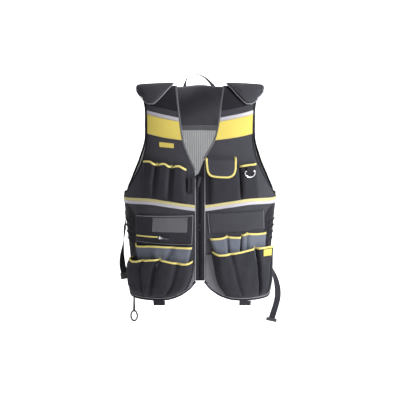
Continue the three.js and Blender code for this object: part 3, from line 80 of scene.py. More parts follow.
def follow(table: Sequence, at: Array) -> Array:
    """Reads a table of (key, value) rows smoothly, without overshoot.

    Each span is a cubic whose slope at a row is the harmonic mean of the slopes either side, or 0 at a turn.

    Args:
        table: rows of key and value, keys rising.
        at: the keys to read.

    Returns:
        The values, shaped as at.
    """
    rows = np.asarray(table, float)
    x, y = rows[:, 0], rows[:, 1]
    secant = np.diff(y) / np.diff(x)
    before, after = secant[:-1], secant[1:]
    inner = np.where(
        before * after > 0, 2 * before * after / np.where(before + after == 0, 1, before + after), 0
    )
    slope = np.concatenate([secant[:1], inner, secant[-1:]])
    at = np.clip(np.asarray(at, float), x[0], x[-1])
    i = np.clip(np.searchsorted(x, at, side="right") - 1, 0, len(x) - 2)
    width = x[i + 1] - x[i]
    t = (at - x[i]) / width
    start = y[i] * (1 + 2 * t) * (1 - t) ** 2 + slope[i] * width * t * (1 - t) ** 2
    end = y[i + 1] * t * t * (3 - 2 * t) + slope[i + 1] * width * t * t * (t - 1)
    return start + end


def quarter_round(q: Array) -> Array:
    """Height of a quarter circle at a share q of its radius, from 0 at 0 to 1 from 1 on."""
    return np.sqrt(1 - (1 - np.clip(q, 0, 1)) ** 2)


def unit(vectors: Array) -> Array:
    """The vectors, each with length 1."""
    return vectors / np.maximum(np.linalg.norm(vectors, axis=-1, keepdims=True), 1e-12)


def steps(count: int, dense: float = 0.0) -> Array:
    """Shares from 0 to 1, closer together at both ends by the share `dense`."""
    t = np.linspace(0, 1, count)
    return (1 - dense) * t + dense * (1 - np.cos(np.pi * t)) / 2


def run_of(path: Array) -> Array:
    """How far along a line each of its points lies."""
    return np.concatenate([[0], np.cumsum(np.linalg.norm(np.diff(path, axis=0), axis=1))])


def read_at(at: Array, run: Array, values: Array) -> Array:
    """Vectors along a line, read at other places on its run."""
    return np.stack([np.interp(at, run, values[:, k]) for k in range(3)], -1)


def swell(points: Array, size: float, seed: float) -> Array:
    """A soft uneven height from -1 to 1 in space, the mean of six sine waves that run different ways.

    Args:
        points: places, with a last axis of x, y and z.
        size: the typical wave length.
        seed: picks another pattern.

    Returns:
        Heights, one for each place.
    """
    k = np.arange(6)
    turn, lean = 2.4 * k + seed, np.sin(1.3 * k + seed)
    ways = np.stack([np.cos(turn) * np.cos(lean), np.sin(lean), np.sin(turn) * np.cos(lean)], -1)
    rate = 2 * np.pi / (size * (0.6 + 0.2 * k))
    return np.sin((points @ ways.T) * rate + 1.7 * k * k + 3.1 * seed).mean(-1)


@dataclass(frozen=True)
class WornBody:
    """The closed shape that the vest is worn on, without anybody in it.

    At a level, a share `down` of the length, the plan is |x/a|^n + |y/b|^n = 1. The depth b closes to the
    shoulder ridge as a quarter circle. The angle runs from the zip (0) by the side to the middle of the back
    (pi).
    """

    length: float = 0.632
    half_width: float = 0.228
    front_depth: float = 0.125
    back_depth: float = 0.105
    drop: float = 0.009
    neck_lift: float = 0.009
    roundness: float = 2.4
    arch: float = 0.3
    ridge: float = 0.0012
    half: tuple = (
        (0, 0.88), (0.15, 0.9), (0.25, 0.92), (0.35, 0.945), (0.42, 0.965), (0.52, 1.0), (0.55, 1.0),
        (0.6, 0.99), (0.68, 0.97), (0.76, 0.948), (0.835, 0.93), (0.9, 0.945), (1.02, 0.968),
    )
    front: tuple = (
        (0, 0.86), (0.15, 0.87), (0.25, 0.9), (0.35, 0.96), (0.42, 0.98), (0.52, 1.0), (0.55, 0.995),
        (0.6, 0.985), (0.68, 0.97), (0.76, 0.965), (0.835, 0.97), (0.9, 0.98), (1.02, 1.0),
    )
    back: tuple = (
        (0, 0.95), (0.15, 1.0), (0.25, 1.0), (0.35, 1.0), (0.42, 0.98), (0.52, 0.94), (0.55, 0.92),
        (0.6, 0.91), (0.68, 0.9), (0.76, 0.9), (0.835, 0.93), (0.9, 0.95), (1.02, 1.0),
    )

    def half_at(self, down: Array) -> Array:
        """Half the width at a level."""
        return self.half_width * follow(self.half, down)

    def front_angle(self, across: Array, down: Array) -> Array:
        """The angle on the front of a share of the half width, negative beyond the zip."""
        share = np.clip(np.abs(across) * self.half_width / self.half_at(down), 0, 1)
        return np.sign(across) * np.arcsin(share ** (self.roundness / 2))

    def back_angle(self, across: Array, down: Array) -> Array:
        """The angle on the back of a share of the half width."""
        return np.pi - self.front_angle(across, down)

    def point(self, angle: Array, rise: Array) -> Array:
        """A point on the body.

        Args:
            angle: the angle round the body.
            rise: the root of the level, which keeps the ridge round.

        Returns:
            Points with a last axis of x, y and z.
        """
        down = rise * rise
        power = 2 / self.roundness
        turn, across = np.cos(angle), np.sin(angle)
        x = self.half_at(down) * np.sign(across) * np.abs(across) ** power
        front = -self.front_depth * follow(self.front, down)
        depth = np.where(turn >= 0, front, self.back_depth * follow(self.back, down))
        y = depth * quarter_round(down / self.arch) * np.abs(turn) ** power
        fade = np.clip(1 - down / self.arch, 0, None) ** 2
        lift = np.where(turn >= 0, 0.0, self.neck_lift * np.exp(-((x / (0.2 * self.half_width)) ** 2)))
        z = fade * (lift - self.drop * (x / self.half_width) ** 2) - self.length * down
        return np.stack(np.broadcast_arrays(x, y, z), axis=-1)

    def normal(self, angle: Array, rise: Array) -> Array:
        """The outward normal, from central steps in the angle and the rise."""
        turn, step = 0.004, 0.003
        around = self.point(angle + turn, rise) - self.point(angle - turn, rise)
        along = self.point(angle, rise + step) - self.point(angle, np.maximum(self.ridge, rise - step))
        normal = unit(np.cross(around, along))
        away = self.point(angle, rise) + np.array([0, 0, 0.4 * self.length])
        return np.where((normal * away).sum(-1, keepdims=True) < 0, -normal, normal)

    def skin(self, side: float, angle: Array, down: Array, out: Array) -> Array:
        """Points `out` from the body, on the left (-1) or the right (1)."""
        angle, down, out = np.broadcast_arrays(angle, down, out)
        rise = np.sqrt(np.maximum(down, self.ridge**2))
        points = self.point(angle, rise) + self.normal(angle, rise) * out[..., None]
        return points * np.array([side, 1, 1])

    def skin_normal(self, side: float, angle: Array, down: Array) -> Array:
        """Outward normals on the left (-1) or the right (1)."""
        return self.normal(angle, np.sqrt(np.maximum(down, self.ridge**2))) * np.array([side, 1, 1])

    def ripple(self, points: Array) -> Array:
        """The swell of the whole worn vest in metres, none at the ridge, the zip and the hem."""
        x, y, z = points[..., 0], points[..., 1], points[..., 2]
        below = np.clip(-z / 0.08, 0, 1) * np.clip((z + 0.97 * self.length) / 0.06, 0, 1)
        zip_side = np.clip(-y / 0.03, 0, 1) * (1 - np.clip((np.abs(x) - 0.02) / 0.05, 0, 1))
        return 0.0016 * below * (1 - zip_side) * swell(points, 0.13, 0.4)


BODY = WornBody()


@dataclass(frozen=True)
class Cut:
    """The vest's seams and edges on the body: levels are shares of the length, widths of the half width."""

    zip_half: float = 0.0141
    zip_seam: float = 0.0004
    underarm: float = 0.51
    yoke_foot: float = 0.2
    zip_foot: float = 0.9
    back_hem: float = 0.94
    hem_start: float = 0.85
    seam: float = 0.0008
    neck_left: tuple = (
        (0, 0.325), (0.07, 0.299), (0.13, 0.277), (0.19, 0.254), (0.24, 0.23), (0.3, 0.173), (0.325, 0.142),
        (0.365, 0.09), (0.39, 0.06), (0.45, 0),
    )
    neck_right: tuple = (
        (0, 0.322), (0.07, 0.286), (0.13, 0.263), (0.19, 0.232), (0.24, 0.193), (0.3, 0.1), (0.325, 0.06),
        (0.365, 0.03), (0.39, 0), (0.45, 0),
    )
    front_side: tuple = (
        (0, 0.765), (0.03, 0.745), (0.089, 0.69), (0.152, 0.676), (0.231, 0.672), (0.271, 0.684),
        (0.32, 0.712),
        (0.356, 0.75), (0.399, 0.806), (0.441, 0.868), (0.48, 0.925), (0.51, 0.968), (0.545, 0.955),
        (0.58, 0.87), (0.61, 0.84), (0.7, 0.84), (0.77, 0.86), (0.82, 0.912), (0.9, 0.93), (1.02, 0.94),
    )
    back_side: tuple = (
        (0, 0.765), (0.05, 0.745), (0.12, 0.72), (0.25, 0.73), (0.35, 0.8), (0.45, 0.91), (0.51, 0.968),
        (0.6, 0.93), (1.02, 0.92),
    )
    back_neck: tuple = ((0, 0.017), (0.2, 0.015), (0.34, 0.008), (0.42, 0.0012), (1, 0))
    front_hem: tuple = (
        (0, 0.902), (0.05, 0.937), (0.155, 0.972), (0.28, 0.99), (0.45, 0.996), (0.62, 0.997), (0.85, 0.995),
        (0.94, 0.985), (1, 0.96),
    )
    waist: tuple = ((0, 0.5405), (0.21, 0.523), (0.42, 0.513), (0.8, 0.52), (1, 0.522), (2, 0.522))
    chest_silver: tuple = ((0, 0.138), (0.5, 0.122), (1, 0.105))
    chest_foot: tuple = ((0, 0.24), (0.5, 0.228), (1, 0.213))

    def inner(self, side: float, down: Array) -> Array:
        """The neckline and then the zip's seam, as a share of the half width."""
        table = self.neck_left if side < 0 else self.neck_right
        return np.maximum(follow(table, down), (self.zip_half + self.zip_seam) / BODY.half_width)

    def waist_top(self, angle: Array) -> Array:
        """Level of the waist band's top at an angle."""
        return follow(self.waist, np.minimum(angle, 2 * np.pi - angle) / (np.pi / 2))

    def bent(self, level: Array, hem: Array) -> Array:
        """A level that bends towards a hem below hem_start, where level 1 is the hem."""
        share = np.clip((level - self.hem_start) / (1 - self.hem_start), 0, 1)
        return np.where(level <= self.hem_start, level, self.hem_start + (hem - self.hem_start) * share)


CUT = Cut()

PANEL_WALL = 0.003
YOKE_WALL = 0.005
MESH_WALL = 0.002
POCKET_WALL = 0.0015
FLAP_WALL = 0.002
STRIP_WALL = 0.0008
WINDOW_WALL = 0.0006
WEBBING_WALL = 0.0018
EDGE_TAPE = 0.0045
MOUTH_TAPE = 0.0046
LAYER_GAP = 0.0007
RIM_GAP = 0.0004
OVER_PANEL = PANEL_WALL + LAYER_GAP

PATCH_SCALE = 16.0
FOLD_SCALE = 34.0
GRAIN_SCALE = 420.0


class Relief(Enum):
    """The kinds of surface that the finishes draw."""

    WEAVE = "weave"
    RIBS = "ribs"
    CORDS = "cords"
    NET = "net"
    BEADS = "beads"
    GRAIN = "grain"


class Net:
    """Short ways to add nodes to one material."""

    def __init__(self, material: bpy.types.Material) -> None:
        """Starts on a material's tree."""
        self.tree = material.node_tree

    def add(self, kind: str) -> bpy.types.Node:
        """A new node."""
        return self.tree.nodes.new(kind)

    def math(self, operation: str, *values) -> bpy.types.NodeSocket:
        """A math node on numbers or sockets; returns its result."""
        node = self.add("ShaderNodeMath")
        node.operation = operation
        for socket, value in zip(node.inputs, values):
            if isinstance(value, bpy.types.NodeSocket):
                self.tree.links.new(value, socket)
            else:
                socket.default_value = value
        return node.outputs[0]

    def place(self) -> bpy.types.NodeSocket:
        """The piece's own coordinates, in metres."""
        return self.add("ShaderNodeTexCoord").outputs["Object"]

    def noise(self, scale: float, detail: float) -> bpy.types.NodeSocket:
        """Noise from 0 to 1 in the piece's own coordinates."""
        node = self.add("ShaderNodeTexNoise")
        node.inputs["Scale"].default_value = scale
        node.inputs["Detail"].default_value = detail
        self.tree.links.new(self.place(), node.inputs["Vector"])
        return node.outputs["Fac"]

    def mix(
        self, factor: bpy.types.NodeSocket, low: Sequence[float], high: Sequence[float]
    ) -> bpy.types.NodeSocket:
        """A colour between two by a factor."""
        node = self.add("ShaderNodeMix")
        node.data_type = "RGBA"
        self.tree.links.new(factor, node.inputs[0])
        node.inputs[6].default_value = low
        node.inputs[7].default_value = high
        return node.outputs[2]

    def scaled(self, colour: bpy.types.NodeSocket, factor: bpy.types.NodeSocket) -> bpy.types.NodeSocket:
        """A colour times a factor."""
        node = self.add("ShaderNodeVectorMath")
        node.operation = "SCALE"
        self.tree.links.new(colour, node.inputs[0])
        self.tree.links.new(factor, node.inputs["Scale"])
        return node.outputs[0]

    def relief(self, kind: Relief, pitch: float) -> bpy.types.NodeSocket:
        """The finish's own pattern from 0 to 1, on the UV map, whose unit is the metre along the cloth."""
        if kind is Relief.BEADS:
            cells = self.add("ShaderNodeTexVoronoi")
            cells.inputs["Scale"].default_value = 1 / pitch
            self.tree.links.new(self.place(), cells.inputs["Vector"])
            return cells.outputs["Distance"]
        if kind is Relief.GRAIN:
            return self.noise(0.4 / pitch, 4.0)
        split = self.add("ShaderNodeSeparateXYZ")
        self.tree.links.new(self.add("ShaderNodeUVMap").outputs["UV"], split.inputs[0])
        turn = 2 * math.pi / pitch
        across = self.math("SINE", self.math("MULTIPLY", split.outputs["X"], turn))
        along = self.math("SINE", self.math("MULTIPLY", split.outputs["Y"], turn))
        if kind is Relief.RIBS:
            return self.math("MULTIPLY_ADD", along, 0.5, 0.5)
        if kind is Relief.CORDS:
            fine = self.math("SINE", self.math("MULTIPLY", split.outputs["Y"], 3 * turn))
            return self.math("MULTIPLY_ADD", fine, 0.12, self.math("MULTIPLY_ADD", across, 0.36, 0.5))
        product = self.math("MULTIPLY", across, along)
        if kind is Relief.NET:
            return self.math("SUBTRACT", 1.0, self.math("ABSOLUTE", product))
        return self.math("MULTIPLY_ADD", product, 0.5, 0.5)


@dataclass(frozen=True)
class Finish:
    """A surface: its colours and its relief.

    Attributes:
        name: the material's name.
        colour: base colour, sRGB from 0 to 1.
        relief: the kind of pattern.
        pitch: its repeat.
        shade: how much darker its hollows are.
        vary: how much the colour varies over the piece.
        wear: how much the fine grain lightens and darkens it.
        depth: the pattern's depth.
        crumple: depth of the soft creases.
        rough: roughness.
        metal: metalness.
        sheen: sheen of the fibres.
        gloss: strength of the plain reflection.
        coat: clear coat.
        glow: white light that it gives off.
        alpha: opacity.
    """

    name: str
    colour: tuple[float, float, float]
    relief: Relief = Relief.WEAVE
    pitch: float = 0.0014
    shade: float = 0.35
    vary: float = 0.12
    wear: float = 0.15
    depth: float = 0.0002
    crumple: float = 0.0012
    rough: float = 0.85
    metal: float = 0.0
    sheen: float = 0.04
    gloss: float = 0.08
    coat: float = 0.0
    glow: float = 0.0
    alpha: float = 1.0

    def linear(self, factor: float) -> tuple[float, float, float, float]:
        """The colour times a factor, in linear light with alpha 1."""
        base = [c / 12.92 if c <= 0.04045 else ((c + 0.055) / 1.055) ** 2.4 for c in self.colour]
        return (*[min(1.0, c * factor) for c in base], 1.0)

    def build(self) -> bpy.types.Material:
        """Makes the node material, or returns the one already made."""
        made = bpy.data.materials.get(self.name)
        if made:
            return made
        material = bpy.data.materials.new(self.name)
        material.use_nodes = True
        net = Net(material)
        surface = net.tree.nodes["Principled BSDF"]
        for socket, value in (
            ("Roughness", self.rough), ("Metallic", self.metal), ("Specular IOR Level", self.gloss),
            ("Sheen Weight", self.sheen),
            ("Sheen Roughness", 0.45), ("Coat Weight", self.coat), ("Coat Roughness", 0.12),
            ("Alpha", self.alpha), ("Emission Color", (1.0, 1.0, 1.0, 1.0)), ("Emission Strength", self.glow),
        ):
            surface.inputs[socket].default_value = value
        pattern = net.relief(self.relief, self.pitch)
        patches = net.math("MULTIPLY_ADD", net.noise(PATCH_SCALE, 4.0), 2 * self.vary, 1 - self.vary)
        grain = net.math("MULTIPLY_ADD", net.noise(GRAIN_SCALE, 3.0), self.wear, 1 - self.wear / 2)
        base = net.mix(pattern, self.linear(1 - self.shade), self.linear(1 + 0.5 * self.shade))
        net.tree.links.new(
            net.scaled(base, net.math("MULTIPLY", patches, grain)), surface.inputs["Base Color"]
        )
        folds = net.math("MULTIPLY", net.noise(FOLD_SCALE, 2.5), self.crumple)
        height = net.math("ADD", folds, net.math("MULTIPLY", pattern, self.depth))
        bump = net.add("ShaderNodeBump")
        bump.inputs["Distance"].default_value = 1.0
        bump.inputs["Strength"].default_value = 0.85
        net.tree.links.new(height, bump.inputs["Height"])
        net.tree.links.new(bump.outputs["Normal"], surface.inputs["Normal"])
        return material


def grey(value: float, blue: float = 0.02) -> tuple[float, float, float]:
    """A grey with a touch of blue, sRGB."""
    return (value, value, value + blue)


FRONT = Finish("front cloth", grey(0.2), pitch=0.0016, vary=0.2, crumple=0.002)
PAD = Finish("pad cloth", grey(0.2), pitch=0.0018)
SHOULDER = Finish("shoulder cloth", grey(0.11), pitch=0.0018, vary=0.2, crumple=0.002)
YOKE = Finish("yoke cloth", grey(0.24), pitch=0.0018, sheen=0.12, crumple=0.0035)
POUCH = Finish("pocket cloth", grey(0.15), pitch=0.0018, vary=0.22, crumple=0.003)
DARK_NET = Finish("side mesh", grey(0.1), Relief.NET, 0.0032, 0.5)
PALE_NET = Finish("back mesh", (0.58, 0.585, 0.59), Relief.CORDS, 0.0068, 0.3, depth=0.0006)
FACING = Finish("facing mesh", grey(0.35), Relief.NET, 0.0036, 0.35)
SLATE = Finish("grey pocket cloth", (0.33, 0.345, 0.385), pitch=0.0016, crumple=0.0018)
YELLOW = Finish(
    "yellow cloth", (0.7, 0.635, 0.32), pitch=0.0013, shade=0.1, vary=0.04, wear=0.06, crumple=0.0005
)
TAPE_YELLOW = Finish("yellow tape", (0.71, 0.66, 0.4), Relief.RIBS, 0.0011, 0.14, 0.04, 0.1, crumple=0.0003)
TAPE_PALE = Finish(
    "pale yellow tape", (0.67, 0.635, 0.45), Relief.RIBS, 0.0011, 0.14, 0.06, 0.1, crumple=0.0003
)
TAPE_DARK = Finish("dark tape", grey(0.12), Relief.RIBS, 0.0012, crumple=0.0003)
TAPE_GREY = Finish("grey tape", grey(0.33), Relief.RIBS, 0.0012, crumple=0.0003)
PIPING = Finish("grey piping", grey(0.46), Relief.GRAIN, 0.0012, crumple=0.0003)
SILVER = Finish(
    "reflective tape", (0.6, 0.59, 0.62), Relief.BEADS, 0.0009, 0.1, 0.04, 0.08, crumple=0.0004, rough=0.42,
    metal=0.15, sheen=0.0, gloss=0.4,
)
WEBBING = Finish("nylon webbing", grey(0.15), Relief.RIBS, 0.0022, depth=0.0004, crumple=0.0002)
FILM = Finish(
    "clear film", grey(0.25), Relief.GRAIN, 0.02, 0.08, crumple=0.001, rough=0.22, sheen=0.0, gloss=0.5,
    coat=0.3, alpha=0.8
)
ZIP_TAPE = Finish("zip tape", grey(0.15), Relief.RIBS, 0.0012, crumple=0.0002)
COIL = Finish("zip coil", grey(0.1), Relief.GRAIN, 0.004, crumple=0.0, rough=0.4, sheen=0.0)
NICKEL = Finish(
    "nickel", (0.82, 0.82, 0.83), Relief.GRAIN, 0.004, 0.1, depth=0.00006, crumple=0.00006, rough=0.24,
    metal=1.0,
    sheen=0.0, gloss=0.5,
)
DARK_METAL = Finish(
    "dark metal", (0.3, 0.3, 0.32), Relief.GRAIN, 0.004, 0.1, depth=0.00006, crumple=0.00006, rough=0.32,
    metal=1.0,
    sheen=0.0, gloss=0.5,
)
PLASTIC = Finish(
    "moulded plastic", grey(0.09), Relief.GRAIN, 0.002, depth=0.00006, crumple=0.0, rough=0.42, sheen=0.0,
    gloss=0.4
)
THREAD_GREY = Finish("grey thread", grey(0.52), Relief.GRAIN, 0.001, crumple=0.0)
THREAD_DARK = Finish("dark thread", grey(0.1), Relief.GRAIN, 0.001, crumple=0.0)
PAPER = Finish(
    "studio paper", (0.97, 0.97, 0.97), Relief.GRAIN, 0.05, 0.02, 0.01, 0.01, crumple=0.0, depth=0.0,
    sheen=0.0,
    glow=0.6,
)


@dataclass
class Surface:
    """A closed surface of four-cornered faces with a UV map."""

    points: Array
    faces: Array
    uv: Array

    @staticmethod
    def grid(rows: int, columns: int, wrap_rows: bool = False, wrap_columns: bool = False) -> Array:
        """Faces over a grid of points stored row by row, joined end to end where asked."""
        r = np.arange(rows if wrap_rows else rows - 1)[:, None]
        c = np.arange(columns if wrap_columns else columns - 1)[None, :]
        r2, c2 = (r + 1) % rows, (c + 1) % columns
        corners = [r * columns + c, r * columns + c2, r2 * columns + c2, r2 * columns + c]
        return np.stack(np.broadcast_arrays(*corners), axis=-1).reshape(-1, 4)

    @staticmethod
    def cap(start: int, count: int) -> Array:
        """Faces over a flat ring of an even number of points: each joins two neighbours to two opposite."""
        i = np.arange(count // 2 - 1)
        return start + np.stack([i, i + 1, count - 2 - i, count - 1 - i], axis=-1)

    def turned_out(self) -> "Surface":
        """The same surface with its faces pointing out, told by the sign of its volume."""
        a, b, c, d = (self.points[self.faces[:, k]] for k in range(4))
        volume = (a * np.cross(b, c)).sum() + (a * np.cross(c, d)).sum()
        return Surface(self.points, self.faces[:, ::-1] if volume < 0 else self.faces, self.uv)

    @staticmethod
    def shell(middle: Array, normal: Array, wall: Array, uv: Array) -> "Surface":
        """A cloth wall: a sheet moved half its wall out and half in, with its border closed.

        Args:
            middle: the sheet, rows by columns by 3.
            normal: its normals.
            wall: its thickness, rows by columns.
            uv: its map, in metres.

        Returns:
            The closed surface.
        """
        rows, columns = middle.shape[:2]
        half = normal * (wall[..., None] / 2)
        points = np.concatenate([(middle + half).reshape(-1, 3), (middle - half).reshape(-1, 3)])
        index = np.arange(rows * columns).reshape(rows, columns)
        border = np.concatenate([index[0, :-1], index[:-1, -1], index[-1, :0:-1], index[:0:-1, 0]])
        after, count = np.roll(border, -1), rows * columns
        front = Surface.grid(rows, columns)
        edge = np.stack([border, border + count, after + count, after], axis=-1)
        faces = np.concatenate([front, front[:, ::-1] + count, edge])
        return Surface(points, faces, np.concatenate([uv.reshape(-1, 2)] * 2)).turned_out()

    @staticmethod
    def sweep(path: Array, wide: Array, thick: Array, section: Array, closed: bool = False) -> "Surface":
        """A section carried along a path: point = path + p wide + q thick for each (p, q) of the section.

        Args:
            path: N by 3.
            wide: the way of p at each point, N by 3.
            thick: the way of q.
            section: K by 2 with K even, or N by K by 2 where it changes along the path.
            closed: whether the path joins its own start.

        Returns:
            The closed surface.
        """
        section = np.broadcast_to(section, (len(path), *section.shape[-2:]))
        rings = path[:, None] + section[..., :1] * wide[:, None] + section[..., 1:] * thick[:, None]
        count = section.shape[1]
        run = run_of(path)
        girth = run_of(section[0])
        uv = np.stack(np.broadcast_arrays(girth[None, :], run[:, None]), axis=-1).reshape(-1, 2)
        faces = Surface.grid(len(path), count, closed, True)
        if not closed:
            start, end = Surface.cap(0, count), Surface.cap((len(path) - 1) * count, count)
            faces = np.concatenate([faces, start[:, ::-1], end])
        return Surface(rings.reshape(-1, 3), faces, uv).turned_out()

    @staticmethod
    def repeated(rings: Array) -> "Surface":
        """Many small closed bodies of one build.

        Args:
            rings: bodies by rings along each by points round each by 3.

        Returns:
            The bodies as one surface.
        """
        count, along, around = rings.shape[:3]
        ends = Surface.cap(0, around)[:, ::-1], Surface.cap((along - 1) * around, around)
        one = np.concatenate([Surface.grid(along, around, False, True), *ends])
        each = along * around
        faces = (one[None] + (each * np.arange(count))[:, None, None]).reshape(-1, 4)
        return Surface(rings.reshape(-1, 3), faces, np.zeros((each * count, 2))).turned_out()

    @staticmethod
    def join(parts: Sequence["Surface"]) -> "Surface":
        """Several surfaces as one."""
        starts = np.cumsum([0] + [len(part.points) for part in parts[:-1]])
        faces = [part.faces + start for part, start in zip(parts, starts)]
        return Surface(
            np.concatenate([part.points for part in parts]), np.concatenate(faces),
            np.concatenate([part.uv for part in parts])
        )

    def made(self, name: str, finish: Finish, sharp: float = 40.0) -> bpy.types.Object:
        """Puts the surface into a new smooth object at the origin; edges past `sharp` degrees stay sharp."""
        mesh = bpy.data.meshes.new(name)
        mesh.vertices.add(len(self.points))
        mesh.vertices.foreach_set("co", np.ascontiguousarray(self.points, dtype=np.float32).ravel())
        mesh.loops.add(self.faces.size)
        mesh.loops.foreach_set("vertex_index", np.ascontiguousarray(self.faces, dtype=np.int32).ravel())
        mesh.polygons.add(len(self.faces))
        mesh.polygons.foreach_set("loop_start", np.arange(0, self.faces.size, 4, dtype=np.int32))
        mesh.update(calc_edges=True)
        layer = mesh.uv_layers.new(name="UVMap")
        layer.data.foreach_set(
            "uv", np.ascontiguousarray(self.uv[self.faces.ravel()], dtype=np.float32).ravel()
        )
        mesh.shade_smooth()
        mesh.set_sharp_from_angle(angle=math.radians(sharp))
        mesh.materials.append(finish.build())
        piece = bpy.data.objects.new(name, mesh)
        bpy.context.scene.collection.objects.link(piece)
        return piece


def rounded(wide: float, thick: float, count: int = 12, square: float = 3.0) -> Array:
    """A rounded rectangle, |2p/wide|^s + |2q/thick|^s = 1, where s is `square` and 2 gives an ellipse."""
    turn = (np.arange(count) + 0.5) / count * 2 * np.pi
    across, up = np.cos(turn), np.sin(turn)
    power = 2 / square
    return np.stack(
        [np.sign(across) * np.abs(across) ** power * wide / 2, np.sign(up) * np.abs(up) ** power * thick / 2],
        -1
    )


def tangents(path: Array, closed: bool = False) -> Array:
    """The way a path runs at each point, from its neighbours."""
    if closed:
        return unit(np.roll(path, -1, 0) - np.roll(path, 1, 0))
    return unit(np.gradient(path, axis=0))


def evenly(stations: Stations, pitch: float, closed: bool = False) -> Stations:
    """Points, ways and normals along a line, read again at even steps of about `pitch`."""
    points = stations[0]
    if closed:
        stations = tuple(np.concatenate([values, values[:1]]) for values in stations)
        points = stations[0]
    run = run_of(points)
    count = max(3, int(run[-1] / pitch))
    at = np.linspace(0, run[-1], count + 1)[: count if closed else count + 1]
    read = [read_at(at, run, values) for values in stations]
    return read[0], unit(read[1]), unit(read[2])


def place(
    piece: bpy.types.Object, slot: str, nodes: Sequence[str] = (), body: str = "vest"
) -> bpy.types.Object:
    """Rides a piece on a body, hides the CAD nodes it replaces, and reports it."""
    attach(piece, body)
    if nodes:
        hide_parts(*nodes)
    LOG.info("%s: %d faces on %s", piece.name, len(piece.data.polygons), body)
    return piece


@dataclass
class Layer:
    """A cloth wall on the worn body.

    Attributes:
        name: the piece's name.
        side: LEFT or RIGHT.
        where: shares (u, v) to the angle and the level.
        wall: wall thickness.
        finish: its surface.
        lift: how far its inner face stands off the body, a number or a function of (u, v).
        u: shares across, from the inner edge to the outer.
        v: shares from the top to the foot.
        thin: how thin the wall gets at its border, as a share.
    """

    name: str
    side: float
    where: Callable[[Array, Array], tuple[Array, Array]]
    wall: float
    finish: Finish
    lift: object = 0.0
    u: Array = field(default_factory=lambda: steps(60, 0.5))
    v: Array = field(default_factory=lambda: steps(60, 0.5))
    thin: float = 1.0

    def __post_init__(self) -> None:
        """Computes the middle sheet and its normals."""
        u, v = np.meshgrid(self.u, self.v)
        angle, down = self.where(u, v)
        self.middle = self.points(u, v, self.wall / 2)
        body_way = BODY.skin_normal(self.side, angle, down)
        if callable(self.lift):
            normal = unit(np.cross(np.gradient(self.middle, axis=1), np.gradient(self.middle, axis=0)))
            body_way = np.where((normal * body_way).sum(-1, keepdims=True) < 0, -normal, normal)
        self.normals = body_way

    def height(self, u: Array, v: Array) -> Array:
        """How far the inner face stands off the body at (u, v)."""
        return self.lift(u, v) if callable(self.lift) else np.full(np.broadcast(u, v).shape, float(self.lift))

    def points(self, u: Array, v: Array, out: float) -> Array:
        """Points over the inner face, with the vest's ripple."""
        angle, down = self.where(u, v)
        ripple = BODY.ripple(BODY.skin(self.side, angle, down, 0.0))
        return BODY.skin(self.side, angle, down, self.height(u, v) + out + ripple)

    def build(
        self, slot: str, nodes: Sequence[str] = (), held: str = "hung", rests: Sequence[str] = ()
    ) -> "Layer":
        """Makes the layer as a closed shell with its UV map and places it on the vest.

        Args:
            slot: the record's material slot.
            nodes: the CAD nodes that it stands for.
            held: how the cloth is held; not used.
            rests: what it rests on; not used.

        Returns:
            The layer itself.
        """
        across = np.diff(self.middle, axis=1)
        along = np.diff(self.middle, axis=0)
        width, length = np.linalg.norm(across, axis=-1), np.linalg.norm(along, axis=-1)
        x = np.concatenate([np.zeros((len(self.v), 1)), np.cumsum(width, 1)], 1)
        y = np.concatenate([np.zeros((1, len(self.u))), np.cumsum(length, 0)], 0)
        edge = np.minimum.reduce([x, x[:, -1:] - x, y, y[-1:] - y])
        wall = self.wall * (self.thin + (1 - self.thin) * quarter_round(edge / (2.5 * self.wall)))
        uv = np.stack([x - x[:, -1:] / 2, y], -1)
        self.piece = Surface.shell(self.middle, self.normals, wall, uv).made(self.name, self.finish)
        place(self.piece, slot, nodes)
        return self

    def edge(self, name: str) -> Stations:
        """A border's points, the way off the cloth, and the normals: top, foot, inner or outer."""
        m, n = self.middle, self.normals
        return {
            "top": (m[0], m[0] - m[1], n[0]),
            "foot": (m[-1], m[-1] - m[-2], n[-1]),
            "inner": (m[:, 0], m[:, 0] - m[:, 1], n[:, 0]),
            "outer": (m[:, -1], m[:, -1] - m[:, -2], n[:, -1]),
        }[name]

    def line(self, u: Array, v: Array, out: float = 0.0003) -> tuple[Array, Array]:
        """Points on the outer face along shares (u, v), and their normals, read between the grid's points."""
        u, v = np.broadcast_arrays(u, v)
        iu = np.interp(u, self.u, np.arange(len(self.u)))
        iv = np.interp(v, self.v, np.arange(len(self.v)))
        a = np.floor(iu).astype(int).clip(0, len(self.u) - 2)
        b = np.floor(iv).astype(int).clip(0, len(self.v) - 2)
        s, t = (iu - a)[:, None], (iv - b)[:, None]

        def read(values: Array) -> Array:
            """The grid's values along the line."""
            top = values[b, a] * (1 - s) + values[b, a + 1] * s
            foot = values[b + 1, a] * (1 - s) + values[b + 1, a + 1] * s
            return top * (1 - t) + foot * t

        normal = unit(read(self.normals))
        return read(self.middle) + normal * (self.wall / 2 + out), normal

    def inset(self, name: str, by: float, start: float = 0.0, end: float = 1.0) -> tuple[Array, Array]:
        """A line on the outer face at a way `by` inside a border, between two shares of its run."""
        run = np.linspace(start, end, 160)
        wide = np.linalg.norm(np.diff(self.middle, axis=1), axis=-1).sum(1).max()
        high = np.linalg.norm(np.diff(self.middle, axis=0), axis=-1).sum(0).max()
        at = {
            "top": (run, by / high), "foot": (run, 1 - by / high), "inner": (by / wide, run),
            "outer": (1 - by / wide, run)
        }
        return self.line(*at[name])


